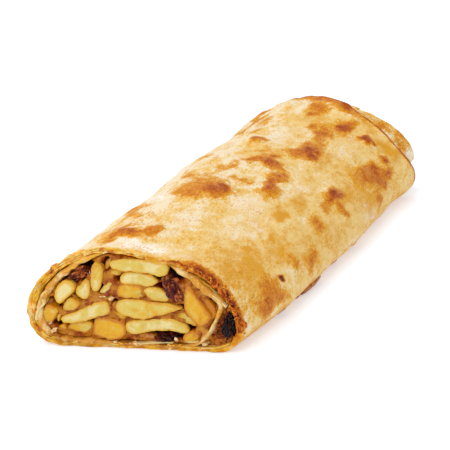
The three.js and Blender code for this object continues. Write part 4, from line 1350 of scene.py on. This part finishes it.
# %% The mass in the pocket
POCKET_FROM_X, POCKET_TOP_Z, POCKET_LOW_Z, POCKET_FRONT, POCKET_BACK = 25, 20.3, 2.4, 2.8, 206
pocket_points, pocket_faces = block(*(((22, 24, 34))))
inside_line = section_outline(WRAP_INSIDE)
crust_right = inside_line[(inside_line[:, 0] > 20) & (inside_line[:, 1] < 22)]
crust_right = crust_right[np.argsort(crust_right[:, 1])]
band_right = band_line[(band_line[:, 0] > 20) & (band_line[:, 1] < 22)]
band_right = band_right[np.argsort(band_right[:, 1])]
a, c, b = pocket_points.T
pocket_z = POCKET_LOW_Z + (POCKET_TOP_Z - POCKET_LOW_Z) * (b + 1) / 2
left_x = np.maximum(np.interp(pocket_z, band_right[:, 1], band_right[:, 0]) + 0.3, POCKET_FROM_X)
right_x = np.interp(pocket_z, crust_right[:, 1], crust_right[:, 0]) - 0.3
pocket_x = left_x + (right_x - left_x) * (a + 1) / 2
depth_share = ((c + 1) / 2) ** 3.2
pocket_y = POCKET_FRONT + (POCKET_BACK - POCKET_FRONT) * depth_share
pocket = np.stack([pocket_x, pocket_y, pocket_z], axis=1)
on_front = ease(16, 4, pocket_y)
pocket[:, 1] += on_front * (1.0 * crumple(pocket, 4.5, 151) + 0.5 * lumps(pocket, 1.6, 152) + 0.6)
RAISIN_SEAT = (38.2, 11.2)
seat = np.hypot(pocket[:, 0] - RAISIN_SEAT[0], (pocket[:, 2] - RAISIN_SEAT[1]) * 0.8) / 4.5
pocket[:, 1] += on_front * 1.8 * dome(seat)
# Darker round the hollow where the raisin sits, as painted shade, and lighter towards the bottom.
pocket_dark = 0.25 + 0.5 * dome(seat / 1.4) - 0.25 * ease(6, 2.5, pocket[:, 2])
pocket_mass = make_piece("pocket_mass", settle(pocket), pocket_faces, cinnamon_finish,
                         dark=pocket_dark, front=on_front)


# %% A Geometry Nodes tree, and running one
def output(node, label=None):
    """A node's output with that label, or its first."""
    return next(s for s in node.outputs if s.enabled and (label is None or s.name == label))


class Tree:
    """A Geometry Nodes tree being built: named inputs, and nodes wired by name."""

    def __init__(self, name, **inputs):
        self.group = bpy.data.node_groups.new(name, "GeometryNodeTree")
        kinds = {float: "NodeSocketFloat", int: "NodeSocketInt", bpy.types.Object: "NodeSocketObject",
                 bpy.types.Material: "NodeSocketMaterial"}
        face = self.group.interface
        face.new_socket("Geometry", in_out="OUTPUT", socket_type="NodeSocketGeometry")
        face.new_socket("Geometry", in_out="INPUT", socket_type="NodeSocketGeometry")
        self.values = {}
        for label, value in inputs.items():
            kind = next(k for t, k in kinds.items() if isinstance(value, t))
            socket = face.new_socket(label.replace("_", " "), in_out="INPUT", socket_type=kind)
            self.values[socket.identifier] = value
        self.start = self.group.nodes.new("NodeGroupInput").outputs
        self.end = self.group.nodes.new("NodeGroupOutput").inputs

    def node(self, kind, settings=None, **inputs):
        """Adds a node; inputs named by label take a value or another node's output."""
        node = self.group.nodes.new(kind)
        for label, value in (settings or {}).items():
            setattr(node, label, value)
        for label, value in inputs.items():
            socket = next(s for s in node.inputs if s.enabled and s.name == label.replace("_", " "))
            if isinstance(value, bpy.types.NodeSocket):
                self.group.links.new(value, socket)
            else:
                socket.default_value = value
        return node

    def dress(self, copies, finish):
        """Ends the tree: the copies are made real and get their finish."""
        real = self.node("GeometryNodeRealizeInstances", Geometry=copies)
        dressed = self.node("GeometryNodeSetMaterial", Geometry=output(real), Material=finish)
        self.group.links.new(output(dressed), self.end["Geometry"])

    def run_on(self, piece):
        """Runs the tree on a piece and keeps the result as its plain mesh."""
        modifier = piece.modifiers.new(self.group.name, "NODES")
        modifier.node_group = self.group
        for identifier, value in self.values.items():
            modifier[identifier] = value
        bpy.context.view_layer.update()
        result = piece.evaluated_get(bpy.context.evaluated_depsgraph_get())
        mesh = bpy.data.meshes.new_from_object(result)
        places = np.empty(3 * len(mesh.vertices), np.float32)
        mesh.vertices.foreach_get("co", places)
        mesh.vertices.foreach_set("co", kept_inside(places.reshape(-1, 3)).ravel())
        piece.modifiers.clear()
        piece.data = mesh
        mesh.name = piece.name
        print(f"{piece.name}: {len(mesh.polygons)} faces from {self.group.name}")
        return piece


def make_seedling(name, points, faces):
    """A small shape to be repeated: in metres, kept out of the scene."""
    return bpy.data.objects.new(name, make_mesh(name, points, faces))


def lumpy_ball(steps, size, seed, roughness=0.3, squash=(1, 1, 1)):
    """A lumpy ball of that half size, in metres."""
    points, faces = block(steps, steps, steps)
    points /= np.linalg.norm(points, axis=1, keepdims=True)
    points *= (1 + roughness * crumple(points, 0.9, seed))[:, None]
    return points * squash * size * MM, faces


# %% Crumbs in the pocket
def scatter_tree(name, seedling, finish, **sizes):
    """Copies of a seedling over the faces that are painted front, each turned at random."""
    tree = Tree(name, Density=sizes["density"], Smallest=sizes["smallest"],
                Largest=sizes["largest"], Seed=sizes["seed"], Crumb=seedling, Finish=finish)
    group = tree.start
    painted = tree.node("GeometryNodeInputNamedAttribute", {"data_type": "FLOAT"}, Name="front")
    chosen = tree.node("FunctionNodeCompare", {"data_type": "FLOAT", "operation": "GREATER_THAN"},
                       A=output(painted, "Attribute"), B=0.9)
    points = tree.node("GeometryNodeDistributePointsOnFaces", Mesh=group["Geometry"],
                       Selection=output(chosen), Density=group["Density"], Seed=group["Seed"])
    turn = tree.node("FunctionNodeRandomValue", {"data_type": "FLOAT_VECTOR"},
                     Min=(0, 0, 0), Max=(2 * math.pi,) * 3, Seed=group["Seed"])
    grow = tree.node("FunctionNodeRandomValue", {"data_type": "FLOAT"},
                     Min=group["Smallest"], Max=group["Largest"], Seed=group["Seed"])
    shape = tree.node("GeometryNodeObjectInfo", Object=group["Crumb"])
    placed = tree.node("GeometryNodeInstanceOnPoints", Points=output(points, "Points"),
                       Instance=output(shape, "Geometry"), Rotation=output(turn),
                       Scale=output(grow))
    tree.dress(output(placed), group["Finish"])
    return tree


crumb_seedling = make_seedling("crumb", *lumpy_ball(3, 1.0, 161))
pocket_crumbs = scatter_tree(
    "scatter_crumbs", crumb_seedling, cinnamon_finish, density=900000.0, smallest=0.35,
    largest=1.25, seed=4,
).run_on(show("pocket_crumbs", pocket_mass.data.copy()))

# %% [markdown]
# ## Raisins
# A raisin is a grape whose skin stayed the same size while the inside shrank, so the skin
# folds: deep irregular creases that run mostly lengthwise, glossy on the ridges and sticky
# in the folds. A ball of square-ish faces is pushed in along folded noise, stretched
# along the raisin's length.

# %% Raisin finish
def raisin_skin():
    fruit = Finish("raisin_skin", subsurface_weight=0.05, subsurface_scale=0.002,
                   specular_ior_level=0.04, coat_weight=0.4, coat_roughness=0.06)
    clouds, mottle, grain = fruit.noise(3.4, 3), fruit.noise(1.4, 3), fruit.noise(0.5, 2)
    # less ruddy, so darker, in the folds: painted shade in the creases
    ruddy = fruit.add(fruit.painted("ruddy"), (clouds, 0.9), (mottle, 0.5))
    colour = fruit.mix(chip(26, 5, 4), chip(88, 20, 8), fruit.step(ruddy, 0.1, 0.55))
    colour = fruit.mix(colour, chip(178, 92, 36), fruit.step(ruddy, 0.65, 1.15))
    fruit.colour(colour)
    fruit.roughness(fruit.between(0.2, 0.5, mottle))
    fruit.bump((mottle, 0.2), (grain, 0.08))
    return fruit.material


raisin_finish = raisin_skin()

# %% Raisins
RAISINS = [  # x, z, half length, half height, tilt, front, how ruddy
    (-24.5, 31.6, 4.1, 3.1, 30, 0.8, 0.95), (15.6, 26.6, 5.6, 3.7, -56, -0.7, 0.8),
    (12.6, 5, 4.8, 1.8, -1, 0.6, 0.5), (38.2, 11.4, 5, 2.7, 84, 0.2, 0.1),
]
RAISIN_HALF_DEPTH, RAISIN_SET_BACK = 3.6, 2
raisins = []
for i, (x, z, half_long, half_high, tilt, front_y, ruddy) in enumerate(RAISINS):
    points, faces = block(*([34] * 3))
    points /= np.linalg.norm(points, axis=1, keepdims=True)
    folds = creases(points * [0.5, 1, 1], 0.62, 171 + i)
    folds = np.maximum(folds, 0.9 * creases(points * [0.7, 1, 1], 0.36, 181 + i))
    reach = 1.08 + 0.24 * crumple(points, 0.9, 191 + i) - 0.42 * folds
    shaped = points * reach[:, None] * [half_long, RAISIN_HALF_DEPTH, half_high]
    shaped = turned(shaped, 0, -tilt) + [x, front_y + RAISIN_SET_BACK, z]
    # the folds are painted darker than the ridges: painted shade in the creases
    raisins.append(make_piece(f"raisin_fruit_{i + 1}", settle(shaped), faces, raisin_finish,
                              ruddy=ruddy - 0.35 * folds))

# %% [markdown]
# ## Loose leaves of dough at the cut
# Strudel dough is stretched until it is nearly clear and rolled with many turns, so the
# torn edge opens into leaves. Golden leaves stand between the crust and the inner wrap at
# the left and along the top, a wet crumpled one hangs at the lower left, and a few lie at
# the pocket and along the floor in front. Each is a short dough sheet along its own line.
# Between them sit soft lumps of dough, made like the soft bits of apple.

# %% Leaves
def under_skin(start, end, deep):
    """A line of the torn edge between two places round the roll, that deep under the skin."""
    round_places = np.linspace(start, end, 40)
    columns = [np.interp(-round_places, -AROUND, v) for v in (*outer[0][:, [0, 2]].T, *skin_out.T)]
    return np.column_stack(columns[:2]) - deep * np.column_stack(columns[2:])


LEAVES = [  # line on the cut (x, z), thickness, front, wave, fray, juicy, toasted, depth
    (under_skin(-100, -52, 0.7), 0.9, 0.3, 0.5, 0.8, 0.2, 0.1, 3),
    (under_skin(-94, -40, 1.9), 0.9, -0.1, 0.8, 0.9, 0.1, 0.45, 4),
    (under_skin(-72, -22, 0.8), 1.0, 0.1, 0.7, 0.9, 0.1, 0.4, 2.5),
    (under_skin(-66, -12, 2.2), 0.9, -0.3, 0.9, 1.0, 0.1, 0.75, 3),
    (under_skin(-30, 22, 0.8), 0.8, 0.1, 0.4, 0.7, 0.1, 0.35, 2),
    (under_skin(-18, 30, 1.9), 0.7, -0.2, 0.4, 0.8, 0.1, 0.75, 2),
    (under_skin(14, 46, 1.2), 0.6, -0.1, 0.5, 1.0, 0.1, 1.0, 2),
    (under_skin(40, 78, 2.4), 0.6, 0.2, 0.5, 0.9, 0.1, 1.1, 2.5),
    ([(-40.4, 11), (-39.4, 15), (-37.4, 18.6), (-38.6, 21.6), (-36.2, 24.4)], 1.2, -0.3, 0.9, 0.7,
     0.0, 0.0, 8),
    ([(21.5, 34.4), (25.6, 31.8), (29.6, 28.6), (33, 25.4), (35.4, 22.4)], 0.7, 1.2, 0.4, 0.8,
     0.55, 0.3, 5),
    ([(31.5, 25.2), (33.6, 23.6), (35.4, 22.6), (37.6, 20.4)], 0.9, -0.2, 0.6, 0.6, -0.1, 0.0, 6),
    ([(-34, 3.4), (-26, 2.2), (-16, 1.7), (-6, 1.6)], 0.8, -0.2, 0.25, 0.6, 0.45, 0.3, 6),
    ([(-2, 2.0), (5, 2.6), (11, 3.2), (16, 3.4)], 0.6, -0.3, 0.4, 0.7, -0.1, 0.0, 6),
    ([(14, 2.4), (20, 1.8), (27, 1.6), (34, 1.9), (39, 4)], 0.7, -0.2, 0.3, 0.9, 0.2, 0.55, 6),
    ([(22, 3.6), (26, 3.9), (30, 3.2)], 0.7, -0.1, 0.5, 0.7, -0.1, 0.0, 6),
]
DOUGH_LUMPS = [  # x, z, length, thick, tilt, front, how juicy, how toasted
    (-34, 33.4, 6, 2.6, 48, -0.5, 0.1, 0.85), (-37.6, 29.4, 4, 2, 60, -0.2, 0.1, 0.45),
    (-39.6, 26.6, 5, 2.6, 66, -0.4, 0.1, 0.6), (-41.4, 18, 6, 2, 82, -0.2, 0.2, 0.9),
    (-41, 12.6, 4.5, 2.2, 78, 0.0, 0.1, 0.3), (-29, 38, 5, 1.8, 36, -0.1, 0.0, 0.1),
    (-24, 40.6, 6, 1.6, 28, -0.2, 0.1, 0.5), (-14.4, 43, 2.6, 1.2, 10, -0.5, 0.1, 1.0),
    (-10.6, 43, 3, 1.1, -14, -0.6, 0.1, 0.7), (-12.6, 42, 2, 0.9, 24, -0.7, 0.0, 0.1),
    (-31.6, 30.6, 5, 1.2, 48, -0.3, 0.0, 0.0),
]
leaf_shapes = []
for i, (line, thickness, leaf_front, wave, fray, juicy, toasted, depth) in enumerate(LEAVES):
    path = smooth_line(line, fine=6)
    length = lengths_along(path)[-1]
    path = at_shares(path, np.linspace(0, 1, int(length / (0.5))))
    depths = depth * np.linspace(0, 1, 8) ** 1.4
    points, faces, edge = dough_sheet(path, thickness, depths, False, wave, fray,
                                      seed=201 + 3 * i, front=leaf_front)
    # darker further back from the cut: painted shade in the gaps between the layers
    leaf_shapes.append((points, faces, dict(
        juicy=juicy + 0.4 * ease(2, 6, points[:, 1]), toasted=toasted * (0.7 + 0.3 * edge))))
lump_step = 0.45
for i, (x, z, length, thick, tilt, lump_front, juicy, toasted) in enumerate(DOUGH_LUMPS):
    points, faces, _ = soft_lump(length, thick, 3, tilt, 10, 0.7, 2.6, 260 + i, lump_step)
    points += [x, 1.5 + lump_front, z]
    leaf_shapes.append((points, faces, dict(juicy=juicy, toasted=toasted)))
leaf_points, leaf_faces, leaf_paint = join_shapes(leaf_shapes)
dough_leaves = make_piece("dough_leaves", settle(leaf_points), leaf_faces, wet_dough_finish,
                          **leaf_paint)

# %% [markdown]
# ## Crisp flakes
# Where the edge baked hard it shattered into flakes: thin curled chips, a few millimetres
# long, red-brown and golden. They follow the torn edge, so Geometry Nodes place them: a
# curve runs along the edge, it is cut into even steps, and each step gets a flake that
# looks along the curve with a random turn, size and shift.

# %% Flake finish
def crisp_flake():
    flake = Finish("crisp_flake", subsurface_weight=0.12, subsurface_scale=0.002,
                   specular_ior_level=0.2)
    clouds, mottle, grain = flake.noise(3.5, 3), flake.noise(1.2, 3), flake.noise(0.4, 2)
    tone = flake.add(0.5, (clouds, 0.8), (mottle, 0.5), (grain, 0.2))
    colour = flake.mix(chip(236, 172, 60), chip(204, 104, 18), flake.step(tone, 0.1, 0.5))
    colour = flake.mix(colour, chip(116, 38, 8), flake.step(tone, 0.6, 1.0))
    flake.colour(colour)
    flake.roughness(flake.between(0.35, 0.65, mottle))
    flake.bump((mottle, 0.2), (grain, 0.08))
    return flake.material


flake_finish = crisp_flake()

# %% The flake and the tree that lays it
flake_points, flake_faces = block(6, 4, 1)
a, b, c = flake_points.T
tear = 1 + 0.3 * crumple(flake_points * [1, 1, 0], 0.8, 211)
curl = 0.55 * a * a - 0.35 * b * b + 0.3 * a * b
flake_points = np.stack([a * tear, b * 0.62 * tear, 0.09 * c + curl], axis=1) * MM
flake_seedling = make_seedling("flake", flake_points, flake_faces)
flake_row = Tree("flakes_along_edge", Step=0.0009, Smallest=0.5, Largest=1.8, Scatter=0.0013,
                 Seed=7, Flake=flake_seedling, Finish=flake_finish)
given = flake_row.start
as_curve = flake_row.node("GeometryNodeMeshToCurve", Mesh=given["Geometry"])
steps_along = flake_row.node("GeometryNodeResampleCurve", {"mode": "LENGTH"},
                             Curve=output(as_curve), Length=given["Step"])
edge_points = flake_row.node("GeometryNodeCurveToPoints", {"mode": "EVALUATED"},
                             Curve=output(steps_along))
shift_by = flake_row.node("FunctionNodeRandomValue", {"data_type": "FLOAT_VECTOR"},
                          Min=(-1, -1, -1), Max=(1, 1, 1), Seed=given["Seed"])
shift = flake_row.node("ShaderNodeVectorMath", {"operation": "SCALE"},
                       Vector=output(shift_by), Scale=given["Scatter"])
spread = flake_row.node("GeometryNodeSetPosition", Geometry=output(edge_points, "Points"),
                        Offset=output(shift))
turn_by = flake_row.node("FunctionNodeRandomValue", {"data_type": "FLOAT_VECTOR"},
                         Min=(-0.9, -0.9, -3.1), Max=(0.9, 0.9, 3.1), Seed=given["Seed"])
turn = flake_row.node("FunctionNodeRotateEuler", {"rotation_type": "EULER", "space": "LOCAL"},
                      Rotation=output(edge_points, "Rotation"),
                      Rotate_By=output(turn_by))
grown = flake_row.node("FunctionNodeRandomValue", {"data_type": "FLOAT"},
                       Min=given["Smallest"], Max=given["Largest"], Seed=given["Seed"])
flake_shape = flake_row.node("GeometryNodeObjectInfo", Object=given["Flake"])
laid = flake_row.node("GeometryNodeInstanceOnPoints", Points=output(spread),
                      Instance=output(flake_shape, "Geometry"),
                      Rotation=output(turn), Scale=output(grown))
flake_row.dress(output(laid), given["Finish"])


def edge_path(name, points):
    """A line of the cut as an object of edges, for a tree to follow."""
    mesh = bpy.data.meshes.new(name)
    placed = settle(points)
    mesh.from_pydata(placed.tolist(), [(i, i + 1) for i in range(len(placed) - 1)], [])
    return show(name, mesh)


on_crisp = np.where(crisp_edge > 0.3)[0]
crisp_line = (outer[0][on_crisp] * 0.55 + inner[-1][on_crisp] * 0.45)
crisp_line[:, 1] = cut_fray(crisp_line[:, 0], crisp_line[:, 2]) + 0.5
edge_flakes = flake_row.run_on(edge_path("edge_flakes", crisp_line))

# %% [markdown]
# ## Crumbs and drips
# A few white crumbs of dough broke off when the roll was cut and stuck to the syrup, and
# juice that boiled out under the roll caramelised where it met the tray. Each crumb is a
# small lumpy ball at a listed place; each drip is a low mound that follows the skin.

# %% White crumb finish
def white_crumb():
    crumb = Finish("white_crumb", subsurface_weight=0.3, subsurface_scale=0.002,
                   specular_ior_level=0.25)
    mottle, grain = crumb.noise(1.2, 3), crumb.noise(0.4, 2)
    colour = crumb.mix(chip(238, 208, 156), chip(212, 150, 74), crumb.step(mottle, 0.3, 0.8))
    crumb.colour(colour)
    crumb.roughness(crumb.between(0.35, 0.6, grain))
    crumb.bump((mottle, 0.2), (grain, 0.08))
    return crumb.material


white_crumb_finish = white_crumb()

# %% White crumbs
CRUMBS = [  # x, z, half length, half height, tilt, in front of the cut by
    (-33.6, 6.3, 2.1, 1.0, 38, 0.6), (0.6, 2.5, 1.3, 0.9, -20, 0.8), (-7.6, 2.7, 0.8, 0.6, 10, 0.7),
    (-10, 21.6, 1.3, 0.7, 30, 0.3), (-14, 22.4, 1.4, 0.4, 5, 0.0), (-35.1, 9.6, 0.7, 0.5, 20, 0.3),
    (17.2, 5.0, 1.0, 0.6, -40, 0.4), (14.2, 5.2, 0.9, 0.4, -20, 0.2), (15.6, 1.4, 1.3, 0.8, 15, 0.9),
    (29, 3.0, 1.3, 0.5, -8, 0.4), (-38.4, 20.2, 1.3, 1.1, 60, 0.6),
]
crumb_shapes = []
for i, (x, z, half_long, half_high, tilt, proud) in enumerate(CRUMBS):
    points, faces = lumpy_ball(7, 0.85, 221 + i, 0.7, (half_long, 0.9, half_high))
    points = turned(points / MM, 0, -tilt) + [x, 0.6 - proud, z]
    crumb_shapes.append((points, faces, {}))
white_points, white_faces, _ = join_shapes(crumb_shapes)
white_crumbs = make_piece("white_crumbs", settle(white_points), white_faces, white_crumb_finish)

# %% Caramel drips
def on_skin_at(along, around):
    """Points of the finished skin and the outward direction there, for drips to follow."""
    rows = np.interp(along, ALONG, np.arange(len(ALONG)))
    columns = np.interp(-around, -AROUND, np.arange(len(AROUND)))
    r = np.clip(rows.astype(int), 0, len(ALONG) - 2)
    c = np.clip(columns.astype(int), 0, len(AROUND) - 2)
    u, v = (rows - r)[:, None], (columns - c)[:, None]
    near_side = outer[r, c] * (1 - v) + outer[r, c + 1] * v
    far_side = outer[r + 1, c] * (1 - v) + outer[r + 1, c + 1] * v
    out = skin_out[c] * (1 - v) + skin_out[c + 1] * v
    return near_side * (1 - u) + far_side * u, out


DRIPS = [  # along, around, half length, half width, height
    (94, 80.5, 11, 4, 1.6), (58, 80.5, 6, 2, 0.5), (148, 79.5, 3, 2, 0.6), (124, 80.5, 3, 1.6, 0.5),
    (76, 79.5, 3.5, 1.6, 0.6), (186, -82, 9, 3, 1.0), (70, -82, 12, 3, 1.0), (132, -83, 6, 2.4, 0.8),
]
drip_shapes = []
for i, (along, around, half_long, half_wide, high) in enumerate(DRIPS):
    points, faces = block(max(8, int(half_long * 1.6)), 8, 4)
    a, b, c = points.T
    reach = np.maximum(np.abs(a), np.abs(b))
    round_off = reach / np.maximum(np.hypot(a, b), 1e-9)
    a, b = a * round_off, b * round_off
    wobble = 1 + 0.35 * crumple(np.stack([a * half_long, b * half_wide, 0 * a], 1), 4, 241 + i)
    place, out = on_skin_at(along + a * half_long * wobble, around + b * half_wide * wobble)
    lift = high * np.sqrt(np.clip(1 - a * a - b * b, 0, 1)) * wobble
    lift = np.where(c > 0, lift * c, 0.5 * c) - 0.1
    place[:, 0] += out[:, 0] * lift
    place[:, 2] = np.maximum(place[:, 2] + out[:, 1] * lift, INSIDE_BOX)
    drip_shapes.append((place, faces, dict(dark=0.15)))
drip_points, drip_faces, drip_paint = join_shapes(drip_shapes)
caramel_drips = make_piece("caramel_drips", settle(drip_points), drip_faces, syrup_finish,
                           **drip_paint)

# %% [markdown]
# ## Camera, floor and light
# The photograph was taken with a long lens from above the cut end. The floor is plain
# white, and one large soft light stands at the upper left and behind, with white all
# round and a weak lamp in front to fill the shade. Two small lamps put sparks on the
# syrup.

# %% Camera
CAMERA_YAW, CAMERA_PITCH = math.radians(23.08), math.radians(20.42)
CAMERA_DISTANCE = 1.2443
CAMERA_TARGET = Vector(((-2.389, 104.616, 20) - FRAME_ORIGIN) * MM)
LENS, SENSOR = 217.5, 36
looking = Vector((
    -math.sin(CAMERA_YAW) * math.cos(CAMERA_PITCH),
    math.cos(CAMERA_YAW) * math.cos(CAMERA_PITCH), -math.sin(CAMERA_PITCH),
))
camera_data = bpy.data.cameras.new("camera")
camera_data.lens, camera_data.sensor_width = LENS, SENSOR
camera = show("camera", camera_data)
camera.location = CAMERA_TARGET - looking * CAMERA_DISTANCE
camera.rotation_euler = looking.to_track_quat("-Z", "Y").to_euler()
bpy.context.scene.camera = camera

# %% Floor and light
FLOOR_HALF, FLOOR_DROP = 4.0, 0.0002
floor_mesh = bpy.data.meshes.new("floor")
h = FLOOR_HALF
floor_mesh.from_pydata([(-h, -h, 0), (h, -h, 0), (h, h, 0), (-h, h, 0)], [], [(0, 1, 2, 3)])
floor = show("floor", floor_mesh)
floor.location.z = -FLOOR_DROP
white = Finish("white_floor", roughness=0.7, specular_ior_level=0.2, emission_strength=0.4)
white.shader.inputs["Emission Color"].default_value = (1, 1, 1, 1)
white.colour(chip(212, 218, 227))
floor_mesh.materials.append(white.material)

world = bpy.data.worlds.new("studio")
world.use_nodes = True
world.node_tree.nodes["Background"].inputs["Color"].default_value = (1, 1, 1, 1)
world.node_tree.nodes["Background"].inputs["Strength"].default_value = 0.9
bpy.context.scene.world = world
bpy.context.scene.view_settings.view_transform = "Standard"
bpy.context.scene.view_settings.look = "None"


def softbox(name, place, aim, size, power):
    """A round soft lamp that looks at aim."""
    data = bpy.data.lights.new(name, "AREA")
    data.shape, data.size, data.energy = "DISK", size, power
    lamp = show(name, data)
    lamp.location = place
    lamp.rotation_euler = (Vector(aim) - Vector(place)).to_track_quat("-Z", "Y").to_euler()


softbox("key", (-0.6, 0.3, 1.5), (0, 0, 0.02), 1.2, 6)
softbox("front_fill", (-0.2, -1.5, 0.8), (0, -0.1, 0.02), 0.7, 4)
softbox("left_glint", (-0.5, -1.0, 0.8), (0, -0.1, 0.02), 0.06, 2.0)
softbox("top_glint", (0.2, -0.9, 1.2), (0, -0.1, 0.02), 0.06, 1.6)

# %% [markdown]
# ## Hand the pieces to the frame
# Every piece rides on the one body of this object, and the solids that it stands for are
# hidden.

# %% Ride, and hide the solids
PIECES = [
    (outer_wrap, ["pastry"], "crust"),
    (tucked_end, ["pastry"], "crust"),
    (inner_wrap, ["pastry"], "crust"),
    (dough_leaves, ["pastry"], "crust"),
    (edge_flakes, ["pastry"], "crust"),
    (white_crumbs, ["pastry"], "crust"),
    (caramel_drips, ["pastry"], "crust"),
    (apple_slices, ["apple_filling"], "apple"),
    (syrup_core, ["apple_filling"], "apple"),
    (pocket_mass, ["pocket_filling"], "spiced_filling"),
    (pocket_crumbs, ["pocket_filling"], "spiced_filling"),
    *((fruit, [f"raisin_{i + 1}"], "raisin") for i, fruit in enumerate(raisins)),
]
for piece, nodes, slot_name in PIECES:
    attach(piece, "root")
    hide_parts(*nodes)
